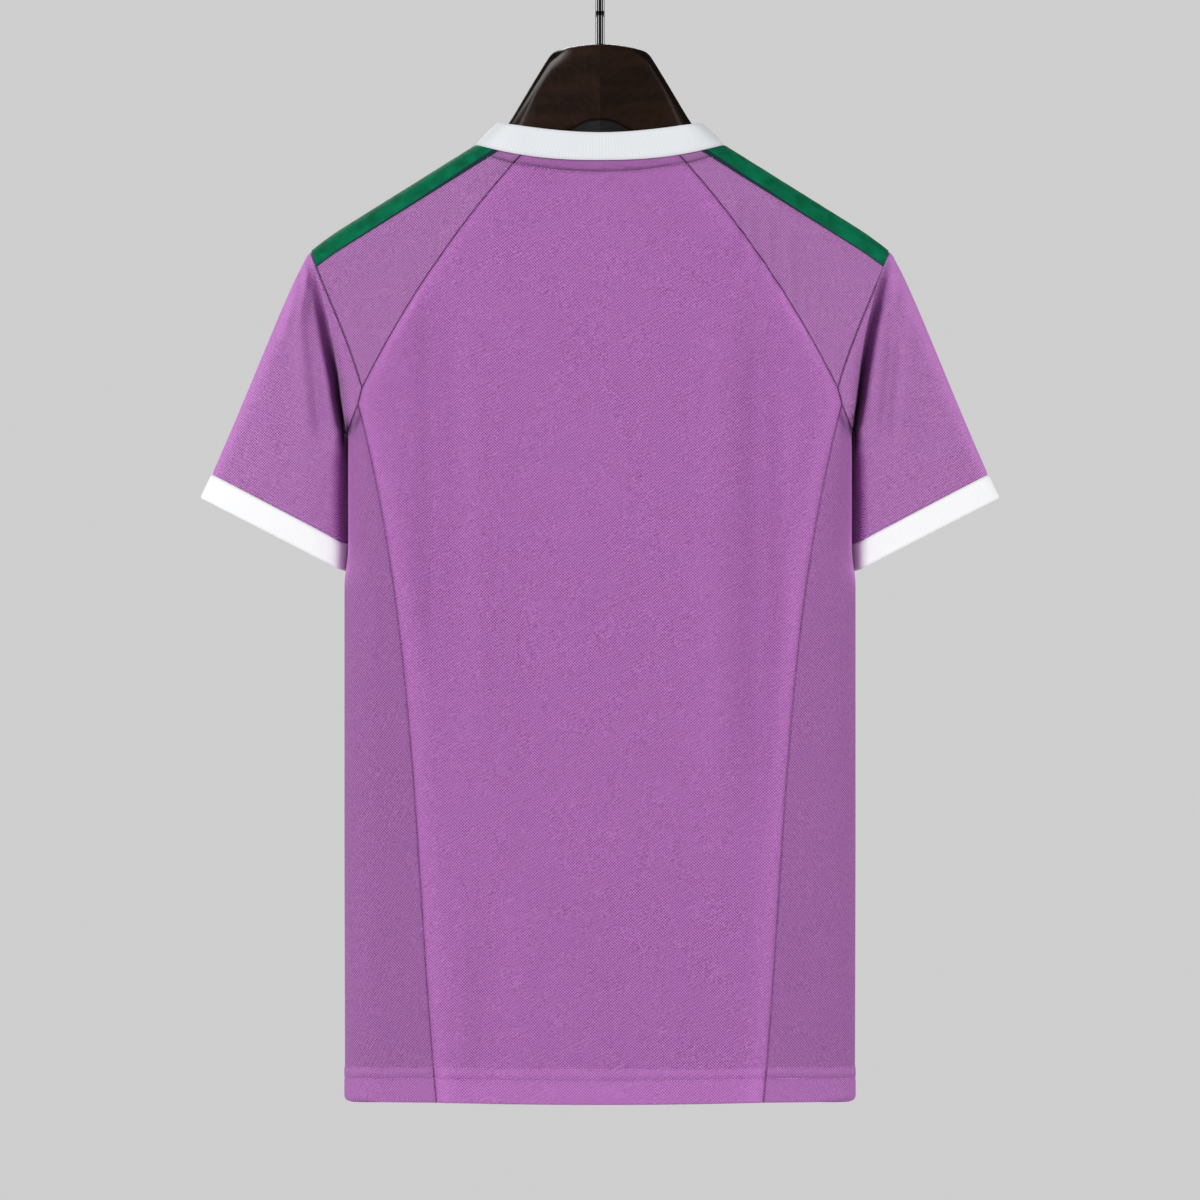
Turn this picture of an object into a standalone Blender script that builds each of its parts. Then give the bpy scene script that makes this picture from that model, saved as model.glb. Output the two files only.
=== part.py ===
"""Short-sleeved goalkeeper jersey hanging on a wooden hanger.

The back of the jersey faces -Y, +X is the wearer's right and +Z is up. The origin is the inside
top of the hanger's hook, where a rail holds it. Sizes are in millimetres, and become metres when
a mesh is made. On the cloth a place is given by x, its distance from the centre line, and drop,
its distance below the level where the shoulder line meets the neck. Face is -1 on the back and
+1 on the front, hand is -1 on the wearer's left and +1 on the right.
"""

import math
from collections import namedtuple

import bmesh
import bpy
from mathutils import Vector

MM = 0.001
BACK, FRONT = -1, 1
LEFT, RIGHT = -1, 1
FACES = (BACK, FRONT)
HANDS = {"left": LEFT, "right": RIGHT}

Spot = namedtuple("Spot", "x drop")

# Levels below the inside top of the hook
HANGER_TOP = 98.0
NECK_LEVEL = 177.9

# Cloth
WALL = 1.6
RIB_WALL = 2.0
SEAM_GAP = 0.3

# Shoulder line: straight from the neck, then falling to the tip
NECK_POINT = Spot(94.8, -2.7)
SHOULDER_SLOPE = math.radians(32.0)
SHOULDER_BEND = 195.0
SHOULDER_TIP = 219.6
TIP_FALL = 6.6
SHOULDER_DEPTH = 24.0
SHOULDER_ROUND = 24.0
SHOULDER_SPREAD = 130.0
BAND_REACH = 13.0

# Body: half width and half depth of the hollow tube at each drop
BodyRow = namedtuple("BodyRow", "drop half_width half_depth")
BODY = [
    BodyRow(0.0, 193.0, 26.0),
    BodyRow(150.0, 193.0, 28.0),
    BodyRow(305.0, 193.0, 27.5),
    BodyRow(335.0, 195.8, 27.0),
    BodyRow(520.0, 195.8, 24.5),
    BodyRow(731.3, 195.4, 21.0),
]
SIDE_ROUND = 42.0
HEM_SAG = 1.8

# Seams: a Bezier's points, from its upper end. A raglan seam starts at this x on the neck seam
RAGLAN_START = {BACK: 60.4, FRONT: 74.0}
RAGLAN = {
    BACK: (Spot(109.3, 59.5), Spot(149.1, 118.1), Spot(181.7, 183.6)),
    FRONT: (Spot(104.0, 86.0), Spot(146.0, 128.0), Spot(181.7, 183.6)),
}
ARMHOLE = (Spot(SHOULDER_TIP, 81.9), Spot(211.0, 108.0), Spot(192.0, 146.0), Spot(181.7, 183.6))
SIDE_TOP = Spot(184.9, 195.8)
SIDE_SEAM = (SIDE_TOP, Spot(139.5, 366.6), Spot(141.8, 550.3), Spot(124.9, 729.5))
UNDERARM = Spot(193.0, 216.0)

# Neck and collar
NECK_BACK_DROP = 9.6
NECK_BACK_POWER = 2.4
NECK_FRONT_DROP = 80.0
COLLAR_HALF_WIDTH = 75.4
COLLAR_SIDE_DROP = -19.4
COLLAR_BACK_DROP = -12.2
COLLAR_BACK_POWER = 1.8
COLLAR_FRONT_DROP = 59.5
COLLAR_DEPTH = 23.0
COLLAR_ROUND = 16.0
COLLAR_SWELL = 0.8

# Sleeve: cuff seam and cuff edge, from the outer to the inner corner
CUFF_SEAM = (Spot(297.2, 249.4), Spot(194.4, 303.0))
CUFF_EDGE = (Spot(305.4, 267.0), Spot(195.4, 323.6))
CUFF_DEPTH = 14.5
SleeveRow = namedtuple("SleeveRow", "around leave_angle leave_length arrive_length")
SLEEVE = [
    SleeveRow(0.00, 42.0, 21.0, 92.0),
    SleeveRow(0.40, 36.0, 30.0, 70.0),
    SleeveRow(0.72, 32.0, 24.0, 50.0),
    SleeveRow(0.82, 44.0, 14.0, 40.0),
    SleeveRow(1.00, 84.0, 16.0, 30.0),
]
SLEEVE_STEPS = (0.0, 0.03, 0.065, 0.105, 0.15, 0.205, 0.28, 0.37, 0.48, 0.6, 0.73, 0.87, 1.0)

# Folds: a trough has a positive depth, a ridge a negative one
Fold = namedtuple("Fold", "face x_top drop_top x_bottom drop_bottom half_width depth")
BODY_FOLDS = [
    Fold(BACK, -130.0, 80.0, -127.0, 395.0, 13.0, 4.5),
    Fold(BACK, 121.0, 80.0, 121.0, 465.0, 13.0, 4.5),
    Fold(BACK, -97.0, 110.0, -93.0, 420.0, 15.0, -2.5),
    Fold(BACK, 89.0, 110.0, 88.0, 480.0, 15.0, -2.5),
    Fold(FRONT, -126.0, 95.0, -122.0, 430.0, 14.0, 4.0),
    Fold(FRONT, 124.0, 90.0, 127.0, 380.0, 14.0, 4.0),
    Fold(FRONT, 60.0, 170.0, 66.0, 520.0, 16.0, -2.0),
]
SLEEVE_FOLDS = [
    Fold(face, hand * x_top, drop_top, hand * x_bottom, drop_bottom, half_width, depth)
    for face in FACES
    for hand in HANDS.values()
    for x_top, drop_top, x_bottom, drop_bottom, half_width, depth in (
        (214.0, 88.0, 203.0, 206.0, 8.5, 7.0),
        (229.0, 98.0, 215.0, 262.0, 9.5, -2.5),
    )
]

# Steps of the cloth's grids
RAGLAN_STEPS = 11
LOWER_ARMHOLE_STEPS = 1
SIDE_STEPS = 15
PANEL_HALF_STEPS = 9
YOKE_STEPS = 6
BAND_HALF_STEPS = 3
UNDERARM_STEPS = 5
COLLAR_STEPS = 2
CUFF_STEPS = 2

# Hanger: upper and lower edge of the wood at each x, how much lower its underside is in front,
# its half depth and how square it is
HangerRow = namedtuple("HangerRow", "x top bottom front_fall half_depth squareness")
HANGER = [
    HangerRow(0.15, -79.9, -21.8, 11.0, 18.5, 7.0),
    HangerRow(10.0, -79.3, -21.0, 11.0, 18.5, 7.0),
    HangerRow(20.0, -77.9, -18.5, 11.0, 18.5, 7.0),
    HangerRow(29.0, -75.9, -15.0, 11.0, 18.5, 7.0),
    HangerRow(34.5, -74.0, -12.0, 11.0, 18.5, 7.0),
    HangerRow(37.5, -71.6, -10.0, 11.0, 18.5, 6.5),
    HangerRow(40.0, -68.4, -8.4, 11.0, 18.5, 6.0),
    HangerRow(50.0, -52.2, -1.0, 10.0, 18.5, 5.0),
    HangerRow(60.0, -35.6, 9.0, 7.0, 17.5, 3.6),
    HangerRow(69.0, -21.0, 18.0, 4.0, 16.0, 2.7),
    HangerRow(78.0, -9.0, 26.0, 2.0, 16.0, 2.3),
    HangerRow(97.0, 3.4, 40.0, 0.0, 17.5, 2.2),
    HangerRow(130.0, 24.0, 59.0, 0.0, 18.5, 2.2),
    HangerRow(165.0, 46.0, 78.0, 0.0, 18.5, 2.2),
    HangerRow(193.0, 64.0, 92.0, 0.0, 18.5, 2.2),
    HangerRow(204.0, 74.0, 96.0, 0.0, 16.5, 2.2),
    HangerRow(209.0, 82.0, 94.0, 0.0, 10.5, 2.0),
]
HANGER_AROUND = 20

# Hook
HOOK_RADIUS = 22.0
HOOK_WIRE = 3.5
HOOK_BEND_START = 34.0
HOOK_JOIN_ANGLE = math.radians(-58.0)
HOOK_END_ANGLE = math.radians(205.0)
HOOK_ARC_STEPS = 22
HOOK_BEND_STEPS = 8

Finish = namedtuple("Finish", "colour roughness metallic")
MESH_CLOTH = Finish((0.39, 0.145, 0.40), 0.82, 0.0)
GREY_MESH = Finish((0.35, 0.135, 0.37), 0.85, 0.0)
GREEN_CLOTH = Finish((0.004, 0.14, 0.055), 0.7, 0.0)
WHITE_RIB = Finish((0.78, 0.80, 0.83), 0.8, 0.0)
DARK_WOOD = Finish((0.022, 0.013, 0.009), 0.38, 0.0)
CHROME = Finish((0.62, 0.62, 0.62), 0.12, 1.0)


def lerp(a, b, t):
    """Return the value at share t between a and b."""
    return a + (b - a) * t


def smooth(t):
    """Ease t from 0 to 1 with no slope at either end."""
    t = min(max(t, 0.0), 1.0)
    return t * t * (3.0 - 2.0 * t)


def rounded(t):
    """Return the height of a quarter-round edge: 0 at its rim, 1 from t = 1 on."""
    t = min(max(t, 0.0), 1.0)
    return math.sqrt(1.0 - (1.0 - t) ** 2)


def bezier(spots, t):
    """Return the spot at share t of a cubic Bezier."""
    weights = ((1 - t) ** 3, 3 * (1 - t) ** 2 * t, 3 * (1 - t) * t * t, t ** 3)
    return Spot(sum(w * s.x for w, s in zip(weights, spots)),
                sum(w * s.drop for w, s in zip(weights, spots)))


def eased_row(rows, place):
    """Return a table's row at a value of its first column, eased between its rows."""
    if place <= rows[0][0]:
        return rows[0]
    for low, high in zip(rows, rows[1:]):
        if place <= high[0]:
            share = smooth((place - low[0]) / (high[0] - low[0]))
            return type(low)(*(lerp(a, b, share) for a, b in zip(low, high)))
    return rows[-1]


def shoulder_drop(x):
    """Return the drop of the shoulder line at x."""
    tip = max(0.0, abs(x) - SHOULDER_BEND) / (SHOULDER_TIP - SHOULDER_BEND)
    return (NECK_POINT.drop + math.tan(SHOULDER_SLOPE) * (abs(x) - NECK_POINT.x)
            + TIP_FALL * tip * tip)


def shoulder_distance(x, drop):
    """Return how far a spot lies inside the shoulder line."""
    return (drop - shoulder_drop(x)) * math.cos(SHOULDER_SLOPE)


def side_distance(x, drop):
    """Return how far a spot lies inside the body's side edge, or from the underarm above it."""
    if drop >= UNDERARM.drop:
        return eased_row(BODY, drop).half_width - abs(x)
    return math.hypot(abs(x) - UNDERARM.x, drop - UNDERARM.drop)


def fold_depth(folds, face, x, drop):
    """Return how deep the folds of one face press in at a spot."""
    depth = 0.0
    for fold in folds:
        if fold.face != face:
            continue
        run, fall = fold.x_bottom - fold.x_top, fold.drop_bottom - fold.drop_top
        length = math.hypot(run, fall)
        along = ((x - fold.x_top) * run + (drop - fold.drop_top) * fall) / length ** 2
        aside = ((x - fold.x_top) * fall - (drop - fold.drop_top) * run) / length
        if 0.0 < along < 1.0:
            ends = smooth(along / 0.25) * smooth((1.0 - along) / 0.25)
            depth += fold.depth * ends * math.exp(-(aside / fold.half_width) ** 2)
    return depth


def body_depth(x, drop, face):
    """Return the half depth of the body at a spot."""
    inside = shoulder_distance(x, drop)
    full = lerp(SHOULDER_DEPTH, eased_row(BODY, drop).half_depth, smooth(inside / SHOULDER_SPREAD))
    edge = rounded(inside / SHOULDER_ROUND) * rounded(side_distance(x, drop) / SIDE_ROUND)
    return full * edge - fold_depth(BODY_FOLDS, face, x, drop) * edge


def place(x, drop, y):
    """Return the point of a spot at depth y."""
    return Vector((x, y, -(NECK_LEVEL + drop)))


def body_point(x, drop, face):
    """Return the point of the body's outer side at a spot."""
    return place(x, drop, face * body_depth(x, drop, face))


def spot_at_distance(curve, distance):
    """Return the spot of a curve that lies a distance inside the shoulder line."""
    low, high = 0.0, 1.0
    for _ in range(40):
        middle = (low + high) / 2.0
        if shoulder_distance(*curve(middle)) < distance:
            low = middle
        else:
            high = middle
    return curve(high), high


def neck_drop(x, face):
    """Return the drop of the neck seam at x."""
    share = min(abs(x) / NECK_POINT.x, 1.0)
    if face == BACK:
        return lerp(NECK_BACK_DROP, NECK_POINT.drop, share ** NECK_BACK_POWER)
    return lerp(NECK_POINT.drop, NECK_FRONT_DROP, math.sqrt(1.0 - share * share))


def neck_curve(face):
    """Return the neck seam of one face as a curve, from the shoulder to the raglan seam."""

    def curve(t):
        x = lerp(NECK_POINT.x, RAGLAN_START[face], t)
        return Spot(x, neck_drop(x, face))
    return curve


def armhole_curve(t):
    """Return the armhole seam at share t, from the shoulder tip to the raglan seam."""
    return bezier(ARMHOLE, t)


def band_distances():
    """Return the distances inside the shoulder line of the band's columns."""
    widest = math.acos(1.0 - BAND_REACH / SHOULDER_ROUND)
    return [SHOULDER_ROUND * (1.0 - math.cos(widest * k / BAND_HALF_STEPS))
            for k in range(BAND_HALF_STEPS + 1)]


def band_spots(distance, face):
    """Return a band column's spots, from the neck seam to the armhole seam."""
    first, _ = spot_at_distance(neck_curve(face), distance)
    last, _ = spot_at_distance(armhole_curve, distance)
    if distance == 0.0:
        first, last = NECK_POINT, ARMHOLE[0]
    spots = []
    for i in range(RAGLAN_STEPS + 1):
        x = lerp(first.x, last.x, i / RAGLAN_STEPS)
        spots.append(Spot(x, shoulder_drop(x) + distance / math.cos(SHOULDER_SLOPE)))
    spots[0], spots[-1] = first, last
    return spots


def raglan_spots(face):
    """Return the raglan seam's spots, from the neck seam to the armhole seam."""
    start = Spot(RAGLAN_START[face], neck_drop(RAGLAN_START[face], face))
    return [bezier((start, *RAGLAN[face]), i / RAGLAN_STEPS) for i in range(RAGLAN_STEPS + 1)]


def lower_armhole_spots():
    """Return the spots from the raglan seam's end to the top of the side seam."""
    start = RAGLAN[BACK][-1]
    return [Spot(lerp(start.x, SIDE_TOP.x, i / LOWER_ARMHOLE_STEPS),
                 lerp(start.drop, SIDE_TOP.drop, i / LOWER_ARMHOLE_STEPS))
            for i in range(LOWER_ARMHOLE_STEPS + 1)]


def side_spots():
    """Return the side seam's spots, from the armhole to the hem."""
    return [bezier(SIDE_SEAM, i / SIDE_STEPS) for i in range(SIDE_STEPS + 1)]


def edge_share(k):
    """Return how far column k lies from the side edge, as a share of the side panel's reach."""
    return 1.0 - math.cos(math.pi / 2.0 * (1.0 - k / UNDERARM_STEPS))


def underarm_spots():
    """Return the spots from the top of the side seam to the underarm."""
    return [Spot(lerp(UNDERARM.x, SIDE_TOP.x, edge_share(k)),
                 lerp(UNDERARM.drop, SIDE_TOP.drop, edge_share(k)))
            for k in range(UNDERARM_STEPS + 1)]


def yoke_spots(face):
    """Return the yoke's spots as rows from the neck to the armhole, raglan to band across."""
    raglan = raglan_spots(face)
    band = band_spots(BAND_REACH, face)
    _, neck_share = spot_at_distance(neck_curve(face), BAND_REACH)
    _, arm_share = spot_at_distance(armhole_curve, BAND_REACH)
    rows = []
    for i in range(RAGLAN_STEPS + 1):
        t = i / RAGLAN_STEPS
        row = []
        for j in range(YOKE_STEPS + 1):
            u = j / YOKE_STEPS
            neck = neck_curve(face)(lerp(1.0, neck_share, u))
            arm = armhole_curve(lerp(1.0, arm_share, u))
            row.append(Spot(*(
                lerp(raglan[i][c], band[i][c], u) + lerp(neck[c], arm[c], t)
                - lerp(lerp(raglan[0][c], band[0][c], u), lerp(raglan[-1][c], band[-1][c], u), t)
                for c in range(2))))
        rows.append(row)
    for i in range(RAGLAN_STEPS + 1):
        rows[i][0], rows[i][-1] = raglan[i], band[i]
    return rows


def armhole_spots(face):
    """Return the armhole's spots on one face, from the shoulder tip to the underarm."""
    band = [band_spots(distance, face)[-1] for distance in band_distances()]
    yoke = [spot for spot in reversed(yoke_spots(face)[-1])]
    return band + yoke[1:] + lower_armhole_spots()[1:] + underarm_spots()[1:]


def panel_rows(face):
    """Return the back or front panel's points, one row for each step down its seams."""
    edge = raglan_spots(face) + lower_armhole_spots()[1:] + side_spots()[1:]
    start = edge[0]
    fade_end = RAGLAN_STEPS
    rows = []
    for i, end in enumerate(edge):
        row = []
        for j in range(-PANEL_HALF_STEPS, PANEL_HALF_STEPS + 1):
            u = math.sin(j / PANEL_HALF_STEPS * math.pi / 2.0) * 0.35 + j / PANEL_HALF_STEPS * 0.65
            neck_bow = neck_drop(u * start.x, face) - start.drop
            hem_bow = HEM_SAG * (1.0 - u * u) * smooth((i - len(edge) + 4) / 3.0)
            drop = end.drop + neck_bow * smooth(1.0 - i / fade_end) + hem_bow
            row.append(body_point(u * end.x, drop, face))
        rows.append(row)
    return rows


def side_panel_rows(hand):
    """Return a side panel's points, rows down from the underarm, back seam to front seam."""
    top = underarm_spots()
    reach = UNDERARM.drop - SIDE_TOP.drop
    rows = []
    for i, seam in enumerate(side_spots()):
        across = eased_row(BODY, seam.drop).half_width - seam.x
        half = []
        for k in range(UNDERARM_STEPS + 1):
            if i == 0:
                half.append(top[k])
                continue
            dip = (top[k].drop - SIDE_TOP.drop) / reach
            drop = seam.drop + dip * reach * smooth(1.0 - i / 5.0)
            width = eased_row(BODY, max(drop, UNDERARM.drop)).half_width
            half.append(seam if k == 0 else Spot(width - across * edge_share(k), drop))
        row = [body_point(hand * spot.x, spot.drop, BACK) for spot in half]
        row += [body_point(hand * spot.x, spot.drop, FRONT) for spot in reversed(half[:-1])]
        rows.append(row)
    return rows


def band_rows(hand):
    """Return a shoulder band's points, rows from the neck to the armhole, back to front."""
    columns = []
    for distance in reversed(band_distances()):
        columns.append([body_point(hand * s.x, s.drop, BACK) for s in band_spots(distance, BACK)])
    for distance in band_distances()[1:]:
        columns.append([body_point(hand * s.x, s.drop, FRONT) for s in band_spots(distance, FRONT)])
    return [list(row) for row in zip(*columns)]


def loop_of(back, front):
    """Join two half loops that share both ends into one closed loop."""
    return back + list(reversed(front))[1:-1]


def sleeve_shares(face):
    """Return how far round the sleeve each armhole point lies, from 0 at the tip to 1."""
    points = [body_point(spot.x, spot.drop, face) for spot in armhole_spots(face)]
    lengths = [0.0]
    for a, b in zip(points, points[1:]):
        lengths.append(lengths[-1] + (b - a).length)
    return [length / lengths[-1] for length in lengths]


def cuff_spot(ends, share):
    """Return the spot of a cuff line at a share of the way round one face."""
    along = (1.0 - math.cos(math.pi * share)) / 2.0
    return Spot(*(lerp(a, b, along) for a, b in zip(*ends)))


def sleeve_spot(start, share, step):
    """Return a sleeve's spot at a step of its way from the armhole to the cuff seam."""
    row = eased_row(SLEEVE, share)
    end = cuff_spot(CUFF_SEAM, share)
    angle = math.radians(row.leave_angle)
    outer = Spot(*(a - b for a, b in zip(ARMHOLE[0], CUFF_SEAM[0])))
    length = math.hypot(*outer)
    lean = lerp(outer.x / length, 0.0, smooth(share))
    rise = -math.sqrt(1.0 - lean * lean)
    leave = Spot(start.x + math.cos(angle) * row.leave_length,
                 start.drop + math.sin(angle) * row.leave_length)
    arrive = Spot(end.x + lean * row.arrive_length, end.drop + rise * row.arrive_length)
    return bezier((start, leave, arrive, end), step)


def sleeve_rows(hand):
    """Return a sleeve's points, loops from the armhole to the cuff seam."""
    rows = []
    for step in SLEEVE_STEPS:
        halves = []
        for face in FACES:
            half = []
            for start, share in zip(armhole_spots(face), sleeve_shares(face)):
                spot = sleeve_spot(start, share, step)
                at_armhole = body_depth(hand * start.x, start.drop, face)
                round_cuff = CUFF_DEPTH * math.sin(math.pi * share)
                depth = lerp(at_armhole, round_cuff, smooth(step))
                fold = fold_depth(SLEEVE_FOLDS, face, hand * spot.x, spot.drop)
                depth -= fold * smooth(step / 0.1) * smooth(depth / 8.0)
                half.append(place(hand * spot.x, spot.drop, face * depth))
            halves.append(half)
        rows.append(loop_of(*halves))
    return rows


def cuff_rows(hand):
    """Return a cuff's points, loops from the cuff seam to the sleeve's open end."""
    rows = []
    for i in range(CUFF_STEPS + 1):
        ends = [Spot(*(lerp(a, b, i / CUFF_STEPS) for a, b in zip(seam, edge)))
                for seam, edge in zip(CUFF_SEAM, CUFF_EDGE)]
        halves = []
        for face in FACES:
            half = []
            for share in sleeve_shares(face):
                spot = cuff_spot(ends, share)
                depth = CUFF_DEPTH * math.sin(math.pi * share)
                half.append(place(hand * spot.x, spot.drop, face * depth))
            halves.append(half)
        rows.append(loop_of(*halves))
    return rows


def neck_half(face):
    """Return the neck seam's points on one face, from the right shoulder to the left."""
    yoke = [row for row in yoke_spots(face)[0]]
    band = [band_spots(distance, face)[0] for distance in band_distances()]
    right = [(spot.x, spot.drop) for spot in band + list(reversed(yoke))[1:]]
    panel = panel_rows(face)[0]
    points = [body_point(x, drop, face) for x, drop in right]
    points += [point for point in reversed(panel[1:-1])]
    points += [body_point(-x, drop, face) for x, drop in reversed(right)]
    return points


def collar_top(point, face):
    """Return the point of the collar's upper edge over a point of the neck seam."""
    share = max(-1.0, min(1.0, point.x / NECK_POINT.x))
    if face == BACK:
        drop = lerp(COLLAR_BACK_DROP, COLLAR_SIDE_DROP, abs(share) ** COLLAR_BACK_POWER)
    else:
        drop = lerp(COLLAR_SIDE_DROP, COLLAR_FRONT_DROP, math.sqrt(1.0 - share * share))
    x = share * COLLAR_HALF_WIDTH
    inside = shoulder_distance(x, drop) - shoulder_distance(COLLAR_HALF_WIDTH, COLLAR_SIDE_DROP)
    return place(x, drop, face * COLLAR_DEPTH * rounded(inside / COLLAR_ROUND))


def collar_rows():
    """Return the collar's points, loops from the neck seam to its upper edge."""
    rows = []
    for i in range(COLLAR_STEPS + 1):
        share = i / COLLAR_STEPS
        halves = []
        for face in FACES:
            half = []
            for seam in neck_half(face):
                point = seam.lerp(collar_top(seam, face), share)
                swell = COLLAR_SWELL * math.sin(math.pi * share)
                away = Vector((seam.x, seam.y, 0.0)).normalized()
                half.append(point + away * swell)
            halves.append(half)
        rows.append(loop_of(*halves))
    return rows


class Cloth:
    """A piece of cloth: a grid of points on its outer side, which becomes a closed wall."""

    def __init__(self, name, rows, wall, seams, closed=False):
        """Keep the grid, and the sides of it that meet another piece."""
        self.name = name
        self.rows = rows
        self.wall = wall
        self.seams = seams
        self.closed = closed
        self.height = len(rows)
        self.width = len(rows[0])
        self.normals = self.grid_normals()

    def neighbour(self, i, j, down, across):
        """Return the grid point beside i, j, or the point itself past an edge."""
        i = min(max(i + down, 0), self.height - 1)
        j = (j + across) % self.width if self.closed else min(max(j + across, 0), self.width - 1)
        return self.rows[i][j]

    def grid_normals(self):
        """Return the outward normal at each grid point."""
        normals = []
        outward = 0.0
        for i in range(self.height):
            row = []
            for j in range(self.width):
                down = self.neighbour(i, j, 1, 0) - self.neighbour(i, j, -1, 0)
                across = self.neighbour(i, j, 0, 1) - self.neighbour(i, j, 0, -1)
                row.append(down.cross(across).normalized())
                outward += row[-1].y * self.rows[i][j].y
            normals.append(row)
        if outward < 0.0:
            normals = [[-normal for normal in row] for row in normals]
        return normals

    def borders(self):
        """Return each seam's grid places, with the steps along it and into the piece."""
        places = []
        if "top" in self.seams:
            places += [(0, j, 0, 1, 1, 0) for j in range(self.width)]
        if "bottom" in self.seams:
            places += [(self.height - 1, j, 0, 1, -1, 0) for j in range(self.width)]
        if "start" in self.seams:
            places += [(i, 0, 1, 0, 0, 1) for i in range(self.height)]
        if "end" in self.seams:
            places += [(i, self.width - 1, 1, 0, 0, -1) for i in range(self.height)]
        return places


def key_of(point):
    """Return what stands for a point that pieces share."""
    return tuple(round(value, 2) for value in point)


def share_seams(pieces):
    """Give the points that pieces share one normal, and part the pieces there by the gap."""
    normals, inward = {}, {}
    for piece in pieces:
        for i in range(piece.height):
            for j in range(piece.width):
                key = key_of(piece.rows[i][j])
                normals.setdefault(key, Vector()).xyz += piece.normals[i][j]
        for i, j, _, _, down, across in piece.borders():
            inward.setdefault(key_of(piece.rows[i][j]), []).append(
                (piece.neighbour(i, j, down, across) - piece.rows[i][j]).normalized())
    for piece in pieces:
        piece.normals = [[normals[key_of(point)].normalized() for point in row]
                         for row in piece.rows]
        piece.moves = {}
        for i, j, along_i, along_j, down, across in piece.borders():
            point, normal = piece.rows[i][j], piece.normals[i][j]
            tangent = (piece.neighbour(i, j, along_i, along_j)
                       - piece.neighbour(i, j, -along_i, -along_j))
            aside = normal.cross(tangent).normalized()
            own = (piece.neighbour(i, j, down, across) - point).normalized()
            others = inward[key_of(point)]
            mean = sum(others, Vector()) / len(others)
            if aside.dot(own - mean) < 0.0:
                aside = -aside
            piece.moves[i, j] = piece.moves.get((i, j), Vector()) + aside * (SEAM_GAP / 2.0)


def wall_object(piece, finish):
    """Build a cloth piece as a closed wall and return its object."""
    mesh = bmesh.new()
    skins = []
    for depth in (0.0, piece.wall):
        skin = []
        for i in range(piece.height):
            row = []
            for j in range(piece.width):
                point = piece.rows[i][j] - piece.normals[i][j] * depth
                point += piece.moves.get((i, j), Vector())
                row.append(mesh.verts.new(point * MM))
            skin.append(row)
        skins.append(skin)
    outer, inner = skins
    last_column = piece.width if piece.closed else piece.width - 1

    def quad(a, b, c, d):
        mesh.faces.new((a, b, c))
        mesh.faces.new((a, c, d))

    for i in range(piece.height - 1):
        for j in range(last_column):
            k = (j + 1) % piece.width
            quad(outer[i][j], outer[i][k], outer[i + 1][k], outer[i + 1][j])
            quad(inner[i][j], inner[i + 1][j], inner[i + 1][k], inner[i][k])
    for j in range(last_column):
        k = (j + 1) % piece.width
        quad(outer[0][j], inner[0][j], inner[0][k], outer[0][k])
        quad(outer[-1][j], outer[-1][k], inner[-1][k], inner[-1][j])
    if not piece.closed:
        for i in range(piece.height - 1):
            quad(outer[i][0], outer[i + 1][0], inner[i + 1][0], inner[i][0])
            quad(outer[i][-1], inner[i][-1], inner[i + 1][-1], outer[i + 1][-1])
    return finished_object(piece.name, mesh, finish)


def finished_object(name, mesh, finish):
    """Turn a closed mesh outwards, give it its material and return its object."""
    bmesh.ops.recalc_face_normals(mesh, faces=mesh.faces)
    if mesh.calc_volume(signed=True) < 0.0:
        bmesh.ops.reverse_faces(mesh, faces=mesh.faces)
    data = bpy.data.meshes.new(name)
    mesh.to_mesh(data)
    mesh.free()
    data.shade_smooth()
    data.set_sharp_from_angle(angle=math.radians(50.0))
    thing = bpy.data.objects.new(name, data)
    bpy.context.collection.objects.link(thing)
    data.materials.append(material(name, finish))
    return thing


def material(name, finish):
    """Return a Principled material of one finish."""
    made = bpy.data.materials.new(name)
    made.use_nodes = True
    shader = made.node_tree.nodes["Principled BSDF"]
    shader.inputs["Base Color"].default_value = (*finish.colour, 1.0)
    shader.inputs["Roughness"].default_value = finish.roughness
    shader.inputs["Metallic"].default_value = finish.metallic
    return made


def build_jersey():
    """Build every piece of the jersey."""
    everywhere = ("top", "bottom", "start", "end")
    pieces = [
        (Cloth("back_panel", panel_rows(BACK), WALL, ("top", "start", "end")), MESH_CLOTH),
        (Cloth("front_panel", panel_rows(FRONT), WALL, ("top", "start", "end")), MESH_CLOTH),
        (Cloth("collar", collar_rows(), RIB_WALL, ("top",), closed=True), WHITE_RIB),
    ]
    for name, hand in HANDS.items():
        for label, face in (("back", BACK), ("front", FRONT)):
            rows = [[body_point(hand * spot.x, spot.drop, face) for spot in row]
                    for row in yoke_spots(face)]
            pieces.append((Cloth(f"yoke_{label}_{name}", rows, WALL, everywhere), GREY_MESH))
        pieces += [
            (Cloth(f"shoulder_band_{name}", band_rows(hand), WALL, everywhere), GREEN_CLOTH),
            (Cloth(f"side_panel_{name}", side_panel_rows(hand), WALL, ("top", "start", "end")),
             GREY_MESH),
            (Cloth(f"sleeve_{name}", sleeve_rows(hand), WALL, ("top", "bottom"), closed=True),
             MESH_CLOTH),
            (Cloth(f"cuff_{name}", cuff_rows(hand), RIB_WALL, ("top",), closed=True), WHITE_RIB),
        ]
    share_seams([piece for piece, _ in pieces])
    for piece, finish in pieces:
        wall_object(piece, finish)


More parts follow.
